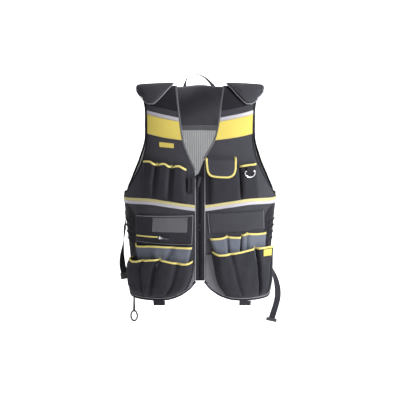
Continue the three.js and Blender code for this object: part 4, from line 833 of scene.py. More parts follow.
@dataclass
class Binding:
    """A tape folded over an edge.

    Attributes:
        name: the piece's name.
        wide: how wide it shows.
        wall: the wall that it wraps.
        finish: its surface.
        over: how far it reaches back over the cloth.
        proud: how far it stands over the cloth.
    """

    name: str
    wide: float
    wall: float
    finish: Finish
    over: float = 0.001
    proud: float = 0.0007

    def build(
        self, stations: Stations, slot: str, nodes: Sequence[str] = (), closed: bool = False
    ) -> bpy.types.Object:
        """Carries a rounded section along the edge and places the piece."""
        points, away, normal = evenly(stations, 0.0028, closed)
        off = unit(np.cross(tangents(points, closed), normal))
        off = np.where((off * away).sum(-1, keepdims=True) < 0, -off, off)
        middle = points + off * ((self.wide + 0.0004 - self.over) / 2)
        section = rounded(self.wide + 0.0004 + self.over, self.wall + 2 * self.proud, 14, 3.5)
        surface = Surface.sweep(middle, off, normal, section, closed)
        return place(surface.made(self.name, self.finish), slot, nodes)


@dataclass
class Seams:
    """Rows of stitches and runs of piping, gathered while the cloth is made and built at the end."""

    pitch: float = 0.0034
    length: float = 0.0023
    thread: float = 0.0007
    rows: dict = field(default_factory=dict)
    pipes: dict = field(default_factory=dict)

    def stitch(self, group: str, *lines: tuple[Array, Array]) -> None:
        """Keeps lines of points and normals to be stitched in a group."""
        self.rows.setdefault(group, []).extend(lines)

    def pipe(self, group: str, radius: float, *lines: tuple[Array, Array]) -> None:
        """Keeps lines of points and normals to be piped in a group."""
        self.pipes.setdefault(group, []).extend((radius, line) for line in lines)

    def spindles(self, path: Array, normal: Array) -> Surface:
        """A row of stitches along a path.

        A stitch is a spindle along the path: its radius is the thread's times a girth that is small at both
        ends, and it is flattened along the normal.
        """
        run = run_of(path)
        count = max(1, int(run[-1] / self.pitch))
        at = (np.arange(count) + 0.5) * run[-1] / count
        centre, up, ahead = (read_at(at, run, values) for values in (path, normal, tangents(path)))
        up, ahead = unit(up), unit(ahead)
        wide = np.cross(up, ahead)
        turn = np.arange(6) / 6 * 2 * np.pi
        stretch, girth = np.array([-0.5, -0.25, 0.25, 0.5]), np.array([0.2, 1, 1, 0.2])
        ring = np.cos(turn)[:, None] * wide[:, None, None] + 0.6 * np.sin(turn)[:, None] * up[:, None, None]
        points = centre[:, None, None] + (stretch * self.length)[None, :, None, None] * ahead[:, None, None]
        points = points + girth[None, :, None, None] * ring * self.thread / 2
        return Surface.repeated(points)

    def build(self) -> None:
        """Makes one piece for each group of stitches and of piping."""
        for group, lines in self.rows.items():
            finish = THREAD_GREY if group.startswith("pale") else THREAD_DARK
            surface = Surface.join([self.spindles(*line) for line in lines])
            place(surface.made(f"stitches_{group}", finish, 180.0), "black_binding")
        for group, lines in self.pipes.items():
            parts = []
            for radius, (path, normal) in lines:
                path, _, normal = evenly((path, normal, normal), 0.003)
                wide = unit(np.cross(tangents(path), normal))
                parts.append(Surface.sweep(path, wide, normal, rounded(2 * radius, 2 * radius, 8, 2.0)))
            place(Surface.join(parts).made(f"piping_{group}", PIPING), "black_binding")


SEAMS = Seams()


@dataclass
class Shell:
    """The fronts, yoke, back and side panels with their edge bindings and seams."""

    panel: float = PANEL_WALL
    yoke: float = YOKE_WALL
    net: float = MESH_WALL
    binding: float = EDGE_TAPE

    def front(self, side: float) -> Layer:
        """A front panel from ridge to hem, between neck or zip and armhole or side seam."""

        def where(u: Array, v: Array) -> tuple[Array, Array]:
            """Angle and level; the level is v squared, and the lowest rows bend to the hem."""
            down = CUT.bent(np.maximum(v, BODY.ridge) ** 2, follow(CUT.front_hem, u))
            inner = BODY.front_angle(CUT.inner(side, down), down)
            outer = BODY.front_angle(follow(CUT.front_side, down), down)
            return inner + (outer - inner) * u, down

        name = f"cloth_front_{NAMES[side]}"
        return Layer(name, side, where, self.panel, FRONT, u=steps(64, 0.4), v=np.linspace(0, 1, 180))

    def back_piece(self, name: str, wall: float, finish: Finish, is_yoke: bool) -> Layer:
        """The yoke, from the back neck to its seam, or the net panel from there to the hem."""
        top = CUT.yoke_foot + CUT.seam / BODY.length

        def where(u: Array, v: Array) -> tuple[Array, Array]:
            """Angle and level right across the back."""
            if is_yoke:
                neck = np.maximum(BODY.ridge**2, follow(CUT.back_neck, np.abs(1 - 2 * u)))
                down = neck + (CUT.yoke_foot - neck) * v**1.6
            else:
                down = CUT.bent(top + (1 - top) * v, np.full(np.shape(u), CUT.back_hem))
            edge = BODY.back_angle(follow(CUT.back_side, down), down)
            return edge + (2 * np.pi - 2 * edge) * u, down

        rows = np.linspace(0, 1, 50 if is_yoke else 130)
        return Layer(name, RIGHT, where, wall, finish, u=steps(110, 0.2), v=rows)

    def side_panel(self, side: float) -> Layer:
        """The side insert, from the front seam round to the back seam, up to the underarm."""
        gap = CUT.seam / BODY.half_width
        top = CUT.underarm + CUT.seam / BODY.length

        def where(u: Array, v: Array) -> tuple[Array, Array]:
            """Angle and level between the two seams."""
            hem = follow(CUT.front_hem, np.ones_like(u)) * (1 - u) + CUT.back_hem * u
            down = CUT.bent(top + (1 - top) * v, hem)
            front = BODY.front_angle(follow(CUT.front_side, down), down) + gap
            back = BODY.back_angle(follow(CUT.back_side, down), down) - gap
            return front + (back - front) * u, down

        name = f"cloth_side_{NAMES[side]}"
        return Layer(name, side, where, self.net, DARK_NET, u=steps(36), v=np.linspace(0, 1, 100))

    def build(self) -> dict[str, Layer]:
        """Makes the shell; returns its layers by name."""
        made = {
            "yoke": self.back_piece("cloth_yoke", self.yoke, YOKE, True).build("black_cloth", ["back_yoke"]),
            "back": self.back_piece(
                "cloth_back", self.net, PALE_NET, False
            ).build("grey_mesh", ["back_panel"]),
        }
        for side, name in NAMES.items():
            made[name] = self.front(side).build("black_cloth", [f"front_panel_{name}"])
            made[f"side_{name}"] = self.side_panel(side).build("dark_mesh", [f"side_panel_{name}"])
        self.bindings(made)
        self.seams(made)
        return made

    def bindings(self, made: dict[str, Layer]) -> None:
        """The tapes round the neck, armholes and hem, each carried along the borders that meet there."""

        def chain(*runs: tuple[Stations, slice]) -> Stations:
            """Borders end to end, each cut by its slice."""
            return tuple(np.concatenate([run[k][cut] for run, cut in runs]) for k in range(3))

        def rows_to(layer: Layer, level: float) -> int:
            """How many rows of a front lie above a level."""
            return int((layer.v**2 <= level).sum())

        back = slice(None, None, -1)
        yoke, net = made["yoke"], made["back"]
        inside = np.nonzero(np.abs(1 - 2 * yoke.u) < 0.42)[0]
        neck = chain(
            (made["left"].edge("inner"), slice(rows_to(made["left"], 0.384) - 1, None, -1)),
            (yoke.edge("top"), slice(int(inside[-1]), int(inside[0]) - 1, -1)),
            (made["right"].edge("inner"), slice(0, rows_to(made["right"], 0.327))),
        )
        tape = Binding("binding_neck", self.binding, self.panel, TAPE_GREY)
        tape.build(neck, "black_binding", ["neck_binding"])
        for side, name in NAMES.items():
            far = "inner" if side > 0 else "outer"
            level = CUT.yoke_foot + (1 - CUT.yoke_foot) * net.v
            arm = chain(
                (made[name].edge("outer"), slice(0, rows_to(made[name], CUT.underarm - 0.006))),
                (made[f"side_{name}"].edge("top"), slice(2, -2)),
                (net.edge(far), slice(int((level < CUT.underarm - 0.006).sum()) - 1, 0, -1)),
                (yoke.edge(far), slice(None, 0, -1)),
            )
            tape = Binding(f"binding_arm_{name}", self.binding, self.panel, TAPE_DARK)
            tape.build(arm, "black_binding", [f"armhole_binding_{name}"], True)
        hem = chain(
            (made["left"].edge("foot"), slice(None)),
            (made["side_left"].edge("foot"), slice(1, -1)),
            (net.edge("foot"), back),
            (made["side_right"].edge("foot"), slice(-2, 0, -1)),
            (made["right"].edge("foot"), back),
        )
        tape = Binding("binding_hem", self.binding, self.panel, TAPE_DARK)
        tape.build(hem, "black_binding", ["hem_binding"])

    def seams(self, made: dict[str, Layer]) -> None:
        """Stitches beside the neck, armholes, side seams and hem, and the yoke's seam tape."""
        for name in NAMES.values():
            front, panel = made[name], made[f"side_{name}"]
            SEAMS.stitch("front", front.inset("outer", 0.003), front.inset("inner", 0.003, 0.02, 0.6))
            SEAMS.stitch("front", front.inset("inner", 0.0025, 0.64, 0.95), front.inset("foot", 0.005))
            SEAMS.stitch(
                "sides", panel.inset("inner", 0.002), panel.inset("outer", 0.002), panel.inset("foot", 0.003)
            )
            SEAMS.pipe(f"hem_{name}", 0.0011, front.inset("foot", 0.0015, 0.02, 0.98))
        yoke, net = made["yoke"], made["back"]
        SEAMS.stitch(
            "yoke", yoke.inset("foot", 0.003), yoke.inset("inner", 0.003), yoke.inset("outer", 0.003)
        )
        SEAMS.stitch("pale_back", net.inset("top", 0.017), net.inset("foot", 0.004), net.inset("top", 0.003))

        def where(u: Array, v: Array) -> tuple[Array, Array]:
            """A band over the top of the net."""
            return net.where(u, v * 0.0275)

        for name, lift in (("outside", self.net + 0.0003), ("inside", -0.001)):
            tape = Layer(f"tape_yoke_{name}", RIGHT, where, 0.0007, TAPE_GREY, lift, net.u, steps(6))
            tape.build("grey_mesh", held="laid", rests=["cloth_back"])


@dataclass
class Strip:
    """A flat strip over a front, given by its levels at both edges and its span of the half width."""

    name: str
    side: float
    top: Callable[[Array], Array]
    foot: Callable[[Array], Array]
    span: Optional[tuple[float, float]] = None
    wall: float = STRIP_WALL
    finish: Finish = YELLOW

    def build(self, slot: str, *nodes: str) -> Layer:
        """Makes the strip between its levels, from neck to armhole unless a span is given."""
        edge = 0.0005 / BODY.half_width

        def where(u: Array, v: Array) -> tuple[Array, Array]:
            """Angle and level between the strip's edges."""
            down = self.top(u) + (self.foot(u) - self.top(u)) * v
            if self.span:
                inner, outer = self.span
            else:
                inner, outer = CUT.inner(self.side, down) + edge, follow(CUT.front_side, down) - edge
            a, b = BODY.front_angle(inner, down), BODY.front_angle(outer, down)
            return a + (b - a) * u, down

        layer = Layer(self.name, self.side, where, self.wall, self.finish, OVER_PANEL, steps(60), steps(16))
        return layer.build(slot, nodes, "laid", [f"cloth_front_{NAMES[self.side]}"])


@dataclass
class Bands:
    """The reflective and yellow bands on the chest and round the waist."""

    strip: float = 0.0105
    gap: float = 0.0005
    shoulder_top: float = 0.004
    shoulder_gap: float = 0.03
    yellow: float = 0.0084
    silver: float = 0.0092

    def build(self) -> None:
        """Makes the shoulder cloths, the chest's strips and the two waist bands, each with its stitches."""

        def shoulder_top(u: Array) -> Array:
            """Level of the shoulder cloth's top."""
            return self.shoulder_top + 0 * u

        def shoulder_foot(u: Array) -> Array:
            """Level of the shoulder cloth's foot, above the silver strip."""
            return silver_top(u) - self.shoulder_gap

        def silver_top(u: Array) -> Array:
            """Level of the silver strip's top."""
            return follow(CUT.chest_silver, u)

        def silver_foot(u: Array) -> Array:
            """Level of the silver strip's foot."""
            return silver_top(u) + self.strip / BODY.length

        def yellow_top(u: Array) -> Array:
            """Level of the yellow panel's top."""
            return silver_foot(u) + self.gap / BODY.length

        def yellow_foot(u: Array) -> Array:
            """Level of the yellow panel's foot."""
            return follow(CUT.chest_foot, u)

        for side, name in NAMES.items():
            shoulder = Strip(f"cloth_shoulder_{name}", side, shoulder_top, shoulder_foot, finish=SHOULDER)
            SEAMS.stitch("front", shoulder.build("black_cloth").inset("foot", 0.0012, 0.01, 0.99))
            silver = Strip(f"strip_silver_{name}", side, silver_top, silver_foot, finish=SILVER)
            yellow = Strip(f"strip_yellow_{name}", side, yellow_top, yellow_foot)
            for layer in (
                silver.build("silver_reflective", f"chest_silver_{name}"),
                yellow.build("yellow_cloth", f"chest_yellow_{name}"),
            ):
                SEAMS.stitch(
                    "pale_chest", layer.inset("top", 0.0012, 0.01, 0.99),
                    layer.inset("foot", 0.0012, 0.01, 0.99)
                )
        for name, start, wide, finish, slot in (
            ("yellow", 0.0, self.yellow, TAPE_PALE, "yellow_cloth"),
            ("silver", self.yellow + self.gap, self.silver, SILVER, "silver_reflective"),
        ):
            layer = self.waist(name, start, wide, finish).build(
                slot, [f"waist_band_{name}"], "laid", ["cloth_front_left", "cloth_front_right", "cloth_back"]
            )
            SEAMS.stitch(
                "pale_waist", layer.line(np.linspace(0.002, 0.998, 600), 0.14 if name == "yellow" else 0.86)
            )

    def waist(self, name: str, start: float, wide: float, finish: Finish) -> Layer:
        """One band from the zip round the back to the zip."""
        first = BODY.front_angle(
            np.array((CUT.zip_half + CUT.zip_seam) / BODY.half_width), np.array(CUT.underarm)
        )

        def where(u: Array, v: Array) -> tuple[Array, Array]:
            """Angle and level along the waist."""
            angle = first + (2 * np.pi - 2 * first) * u
            return angle, CUT.waist_top(angle) + (start + wide * v) / BODY.length

        return Layer(
            f"band_{name}", RIGHT, where, STRIP_WALL, finish, OVER_PANEL, np.linspace(0, 1, 360), steps(5)
        )


@dataclass
class Pocket:
    """A pocket's outer wall, full at the mouth and closed along its sides and foot.

    Attributes:
        name: the piece's name.
        side: LEFT or RIGHT.
        mouth: rows of share across and level.
        inner: rows of share down and share of the half width, for the edge nearer the zip.
        outer: the same for the far edge.
        foot: rows of share across and level, or a function of the share.
        bulge: how far it stands off the panel at its fullest.
        gusset: the width over which its sides rise.
        toe: the height over which its foot rises.
        taper: how much less full it is at the foot.
        folds: rows of place at the mouth, place at the foot, depth and width.
        finish: its cloth.
        bound: whether a yellow tape runs along its mouth.
        creases: height of the soft creases.
        wall: wall thickness.
        columns: points across.
        rows: points down.
    """

    name: str
    side: float
    mouth: tuple
    inner: tuple
    outer: tuple
    foot: object
    bulge: float
    gusset: float
    toe: float
    taper: float = 0.0
    folds: tuple = ()
    finish: Finish = POUCH
    bound: bool = True
    creases: float = 0.0012
    wall: float = POCKET_WALL
    columns: int = 84
    rows: int = 56

    def foot_at(self, u: Array) -> Array:
        """Level of the foot."""
        return self.foot(u) if callable(self.foot) else follow(self.foot, u)

    def where(self, u: Array, v: Array) -> tuple[Array, Array]:
        """Angle and level at (u, v)."""
        top = follow(self.mouth, u)
        down = top + (self.foot_at(u) - top) * v
        a = BODY.front_angle(follow(self.inner, v), down)
        b = BODY.front_angle(follow(self.outer, v), down)
        return a + (b - a) * u, down

    def lift(self, u: Array, v: Array) -> Array:
        """Height of the inner face: quarter rounds at sides and foot, less the folds, with soft creases."""
        width = (follow(self.outer, v) - follow(self.inner, v)) * BODY.half_width
        height = (self.foot_at(u) - follow(self.mouth, u)) * BODY.length
        side = np.minimum(u, 1 - u) * width / self.gusset
        toe = (1 - v) * height / self.toe
        full = quarter_round(side) * quarter_round(toe) * (1 - self.taper * v)
        for at_mouth, at_foot, depth, wide in self.folds:
            at = at_mouth + (at_foot - at_mouth) * v
            full = full * (1 - depth * np.exp(-(((u - at) / wide) ** 2)))
        span = np.clip(side, 0, 1) * np.clip(toe, 0, 1) * (1 - 0.6 * np.exp(-v * 8))
        crease = swell(
            np.stack([u * width, v * height * 0.5, 0 * u], -1), 0.04, 0.7 + self.side + 90 * self.bulge
        )
        return OVER_PANEL + self.bulge * full + self.creases * span * (crease - 0.3)

    def build(self, slot: str, node: str) -> Layer:
        """Makes the pocket, its stitches and, where it has one, its bound mouth."""
        under = [f"cloth_front_{NAMES[self.side]}"]
        layer = Layer(
            self.name, self.side, self.where, self.wall, self.finish, self.lift, steps(self.columns, 0.4),
            steps(self.rows, 0.3)
        ).build(slot, [node], "gathered", under)
        SEAMS.stitch(
            f"pockets_{NAMES[self.side]}", layer.inset("inner", 0.0014, 0.04),
            layer.inset("outer", 0.0014, 0.04)
        )
        SEAMS.stitch(f"pockets_{NAMES[self.side]}", layer.inset("foot", 0.0014))
        if self.bound:
            tape = Binding(f"tape_{self.name}", MOUTH_TAPE, self.wall, TAPE_YELLOW)
            tape.build(layer.edge("top"), "yellow_binding", [f"{node}_binding"])
        return layer


def above_waist(inner: float, outer: float) -> Callable[[Array], Array]:
    """Level just above the waist band, along a pocket's foot between two shares of the half width."""
    a, b = (BODY.front_angle(np.array(share), np.array(CUT.underarm)) for share in (inner, outer))
    return lambda u: CUT.waist_top(a + (b - a) * u) - 2 * LAYER_GAP / BODY.length


@dataclass
class Pockets:
    """All pockets of both fronts, with the flap, window, label, patch, facings and bar tacks."""

    made: dict = field(default_factory=dict)
    phone_bulge: float = 0.012
    bellows: tuple = (0.022, 0.014, 0.026, 0.35)
    left_inner: tuple = ((0, 0.1), (0.25, 0.106), (0.7, 0.168), (1, 0.31))
    right_inner: tuple = ((0, 0.16), (0.2, 0.185), (0.7, 0.245), (1, 0.36))

    def build(self) -> dict[str, Layer]:
        """Makes every pocket and what lies on it; returns the layers by node name."""
        self.left_chest()
        self.right_chest()
        self.left_skirt()
        self.right_skirt()
        self.facings()
        self.tacks()
        return self.made

    def add(self, node: str, slot: str, *sizes, **extras) -> Layer:
        """Builds one pocket for a node and keeps its layer."""
        self.made[node] = Pocket(f"pouch_{node}", *sizes, **extras).build(slot, node)
        return self.made[node]

    def left_chest(self) -> None:
        """The gathered tool pocket, the pen loops and the plain patch."""
        self.add(
            "tool_pocket", "black_cloth", LEFT,
            (
                (0, 0.3775), (0.14, 0.36), (0.29, 0.366), (0.44, 0.351), (0.62, 0.3575), (0.8, 0.343),
                (1, 0.345)
            ),
            ((0, 0.18), (1, 0.168)), ((0, 0.712), (1, 0.738)), above_waist(0.168, 0.738), 0.013, 0.015, 0.06,
            folds=((0.28, 0.34, 0.85, 0.05), (0.61, 0.68, 0.85, 0.05)),
        )
        self.add(
            "pen_loops", "webbing", LEFT, ((0, 0.41), (1, 0.408)), ((0, 0.075), (1, 0.075)),
            ((0, 0.158), (1, 0.158)),
            ((0, 0.482), (1, 0.482)), 0.009, 0.0025, 0.014, folds=((0.5, 0.5, 0.9, 0.06),), finish=WEBBING,
            bound=False,
            creases=0.0, columns=50, rows=40,
        )
        patch = Strip(
            "patch_chest", LEFT, lambda u: 0.255 - 0.006 * u, lambda u: 0.2765 - 0.005 * u, (0.335, 0.52)
        )
        layer = patch.build("yellow_cloth", "chest_patch")
        SEAMS.stitch("pale_chest", layer.inset("top", 0.0012), layer.inset("foot", 0.0012))

    def right_chest(self) -> None:
        """The flap pocket and the pocket that carries the ring."""
        self.add(
            "phone_pocket", "black_cloth", RIGHT, ((0, 0.372), (1, 0.362)), ((0, 0.112), (1, 0.12)),
            ((0, 0.49), (1, 0.512)),
            above_waist(0.12, 0.512), self.phone_bulge, 0.013, 0.03, bound=False,
        )
        self.flap()
        self.add(
            "ring_pocket", "black_cloth", RIGHT, ((0, 0.365), (0.12, 0.362), (1, 0.356)),
            ((0, 0.5), (1, 0.54)),
            ((0, 0.708), (1, 0.75)), above_waist(0.54, 0.75), 0.011, 0.011, 0.055, creases=0.0002,
        )

    def flap(self) -> None:
        """The rounded flap over the phone pocket, bound in yellow down its sides and along its foot."""
        hem = (
            (0, 0.368), (0.03, 0.382), (0.08, 0.392), (0.17, 0.399), (0.5, 0.404), (0.72, 0.405),
            (0.86, 0.401), (0.94, 0.392), (0.98, 0.38), (1, 0.366),
        )
        rise = self.phone_bulge + POCKET_WALL + LAYER_GAP

        def where(u: Array, v: Array) -> tuple[Array, Array]:
            """Angle and level between the seam and the rounded foot."""
            top = 0.3215 - 0.003 * u
            down = top + (follow(hem, u) - top) * v
            inner, outer = 0.088 + 0.012 * v, 0.432 - 0.002 * v
            return BODY.front_angle(inner + (outer - inner) * u, down), down

        def lift(u: Array, v: Array) -> Array:
            """From flush at the seam to over the pocket's mouth."""
            return OVER_PANEL + rise * quarter_round(v / 0.3) + 0 * u

        flap = Layer("flap_phone", RIGHT, where, FLAP_WALL, FRONT, lift, steps(70, 0.4), steps(44, 0.3))
        self.made["phone_flap"] = flap.build("black_cloth", ["phone_flap"], "hung", ["pouch_phone_pocket"])
        inner, foot, outer = flap.edge("inner"), flap.edge("foot"), flap.edge("outer")
        chain = tuple(np.concatenate([inner[k][:-1], foot[k], outer[k][-2::-1]]) for k in range(3))
        tape = Binding("tape_phone_flap", MOUTH_TAPE, FLAP_WALL, TAPE_YELLOW)
        tape.build(chain, "yellow_binding", ["phone_flap_binding"])
        SEAMS.stitch(
            "pockets_right", flap.inset("top", 0.0015, 0.03, 0.97), flap.inset("top", 0.006, 0.03, 0.97)
        )

    def left_skirt(self) -> None:
        """Under the waist band at the left: window pocket, grey pocket and bellows pocket."""
        window = self.add(
            "window_pocket", "black_cloth", LEFT, ((0, 0.588), (1, 0.598)), ((0, 0.092), (1, 0.11)),
            ((0, 0.808), (1, 0.82)),
            ((0, 0.7255), (1, 0.722)), 0.003, 0.008, 0.01, bound=False, creases=0.0003,
        )
        self.overlay(
            window, "window", "film_window", (0.06, 0.62), (0.04, 0.58), WINDOW_WALL, FILM, "clear_window"
        )
        self.overlay(
            window, "window_pocket_binding", "tape_window_pocket", (0.5, 0.985), (0.742, 0.796), STRIP_WALL,
            TAPE_YELLOW,
            "yellow_binding",
        )
        SEAMS.pipe(
            "window", 0.0009, window.inset("top", 0.0), window.inset("inner", 0.0), window.inset("foot", 0.0)
        )
        self.add(
            "middle_pocket", "grey_cloth", LEFT, ((0, 0.7465), (0.5, 0.7425), (0.93, 0.749), (1, 0.74)),
            ((0, 0.11), (0.6, 0.15), (1, 0.16)), ((0, 0.825), (0.6, 0.8), (1, 0.79)),
            ((0, 0.855), (1, 0.855)),
            0.008, 0.01, 0.02, folds=((0.26, 0.42, 0.45, 0.05), (0.66, 0.56, 0.35, 0.05)), finish=SLATE,
            creases=0.003,
        )
        self.add(
            "lower_pocket_left", "black_cloth", LEFT,
            (
                (0, 0.8115), (0.07, 0.819), (0.2, 0.814), (0.4, 0.8025), (0.6, 0.8085), (0.86, 0.8215),
                (0.93, 0.812), (1, 0.8105),
            ),
            self.left_inner, ((0, 0.872), (0.25, 0.9), (0.7, 0.908), (1, 0.88)),
            ((0, 0.972), (0.25, 0.983), (0.5, 0.986), (0.9, 0.983), (1, 0.972)),
            *self.bellows, ((0.4, 0.47, 0.62, 0.03), (0.66, 0.6, 0.4, 0.028), (0.16, 0.2, 0.25, 0.03)),
            columns=130, rows=70,
            creases=0.0035,
        )

    def right_skirt(self) -> None:
        """Under the waist band at the right: document pocket, two grey pockets and the bellows pocket."""
        document = self.add(
            "document_pocket", "black_cloth", RIGHT, ((0, 0.577), (1, 0.575)), ((0, 0.105), (1, 0.13)),
            ((0, 0.812), (1, 0.825)), ((0, 0.675), (1, 0.662)), 0.003, 0.008, 0.01, bound=False,
            creases=0.0003,
            finish=FRONT,
        )
        SEAMS.pipe("document", 0.0009, document.inset("inner", 0.0), document.inset("outer", 0.0))
        self.add(
            "inner_pocket", "grey_cloth", RIGHT,
            ((0, 0.703), (0.28, 0.7005), (0.5, 0.694), (0.75, 0.697), (1, 0.6985)),
            ((0, 0.135), (0.45, 0.185), (1, 0.24)), ((0, 0.52), (0.45, 0.51), (1, 0.5)),
            ((0, 0.84), (1, 0.84)),
            0.008, 0.009, 0.025, folds=((0.5, 0.5, 0.7, 0.06),), finish=SLATE, creases=0.002,
        )
        self.add(
            "outer_pocket", "grey_cloth", RIGHT, ((0, 0.6885), (0.2, 0.683), (0.6, 0.687), (1, 0.687)),
            ((0, 0.534), (0.45, 0.525), (1, 0.515)), ((0, 0.845), (0.45, 0.83), (1, 0.8)),
            ((0, 0.84), (1, 0.84)),
            0.008, 0.009, 0.025, folds=((0.16, 0.2, 0.5, 0.07),), finish=SLATE, creases=0.002,
        )
        bellows = self.add(
            "lower_pocket_right", "black_cloth", RIGHT,
            ((0, 0.7645), (0.07, 0.776), (0.3, 0.766), (0.58, 0.751), (0.8, 0.7505), (1, 0.761)),
            self.right_inner, ((0, 0.9), (0.2, 0.895), (0.7, 0.905), (1, 0.88)),
            ((0, 0.975), (0.25, 0.983), (0.5, 0.985), (0.9, 0.982), (1, 0.97)),
            *self.bellows, ((0.57, 0.66, 0.72, 0.03), (0.93, 0.86, 0.35, 0.028), (0.2, 0.27, 0.25, 0.03)),
            columns=130, rows=70,
            creases=0.0035,
        )
        self.overlay(
            bellows, "pocket_label", "patch_label", (0.69, 0.91), (0.02, 0.16), STRIP_WALL, YELLOW,
            "yellow_cloth"
        )

    def overlay(
        self, under: Layer, node: str, name: str, us: tuple, vs: tuple, wall: float, finish: Finish, slot: str
    ) -> Layer:
        """A small flat piece on another cloth, between shares of its width and height."""

        def inside(u: Array, v: Array) -> tuple[Array, Array]:
            """The under cloth's own shares."""
            return us[0] + (us[1] - us[0]) * u, vs[0] + (vs[1] - vs[0]) * v

        layer = Layer(
            name, under.side, lambda u, v: under.where(*inside(u, v)), wall, finish,
            lambda u, v: under.height(*inside(u, v)) + under.wall + RIM_GAP, steps(50), steps(24), 0.4,
        )
        self.made[node] = layer.build(slot, [node], "laid", [under.name])
        return layer

    def facings(self) -> None:
        """The pale crescents between the zip and the bellows pockets, inside the rounded hem."""
        corner = tuple((down, share) for share, down in CUT.front_hem if share < 0.5)
        gap = CUT.seam / BODY.half_width
        for side, top, foot, under, mouth in (
            (LEFT, 0.83, 0.948, self.left_inner, 0.8115), (RIGHT, 0.775, 0.968, self.right_inner, 0.7645)
        ):

            def where(u: Array, v: Array) -> tuple[Array, Array]:
                """Angle and level between the hem's curve and the pocket's edge."""
                down = top + (foot - top) * v
                zip_edge = BODY.front_angle(CUT.inner(LEFT, down), down)
                seam = BODY.front_angle(follow(CUT.front_side, down), down)
                share = np.where(down < corner[0][0], 0, follow(corner, down))
                inner = zip_edge + (seam - zip_edge) * share + 2 * gap
                outer = BODY.front_angle(follow(under, (down - mouth) / (0.975 - mouth)), down) - 5 * gap
                return inner + (np.maximum(outer, inner + 2 * gap) - inner) * u, down

            name = NAMES[side]
            layer = Layer(
                f"cloth_facing_{name}", side, where, STRIP_WALL, FACING, OVER_PANEL, steps(20), steps(50)
            )
            layer.build("grey_mesh", [f"facing_{name}"], "laid", [f"cloth_front_{name}"])

    def tacks(self) -> None:
        """Short satin-stitched bars over the bound mouths, where the tubes are sewn down."""
        bars = []
        for node, u in (
            ("tool_pocket", 0.28), ("tool_pocket", 0.61), ("inner_pocket", 0.5), ("outer_pocket", 0.16),
            ("lower_pocket_left", 0.4), ("lower_pocket_right", 0.57),
        ):
            layer = self.made[node]
            points, away, normal = layer.edge("top")
            at = int(np.argmin(np.abs(layer.u - u)))
            up, out = unit(away[at]), normal[at]
            path = points[at] + up * np.linspace(-0.0015, 0.0085, 8)[:, None] + out * (
                layer.wall / 2 + 0.0011
            )
            wide = np.repeat(np.cross(up, out)[None], 8, 0)
            bars.append(Surface.sweep(path, wide, np.repeat(out[None], 8, 0), rounded(0.0028, 0.0014, 10)))
        place(Surface.join(bars).made("tacks", TAPE_YELLOW), "yellow_binding")


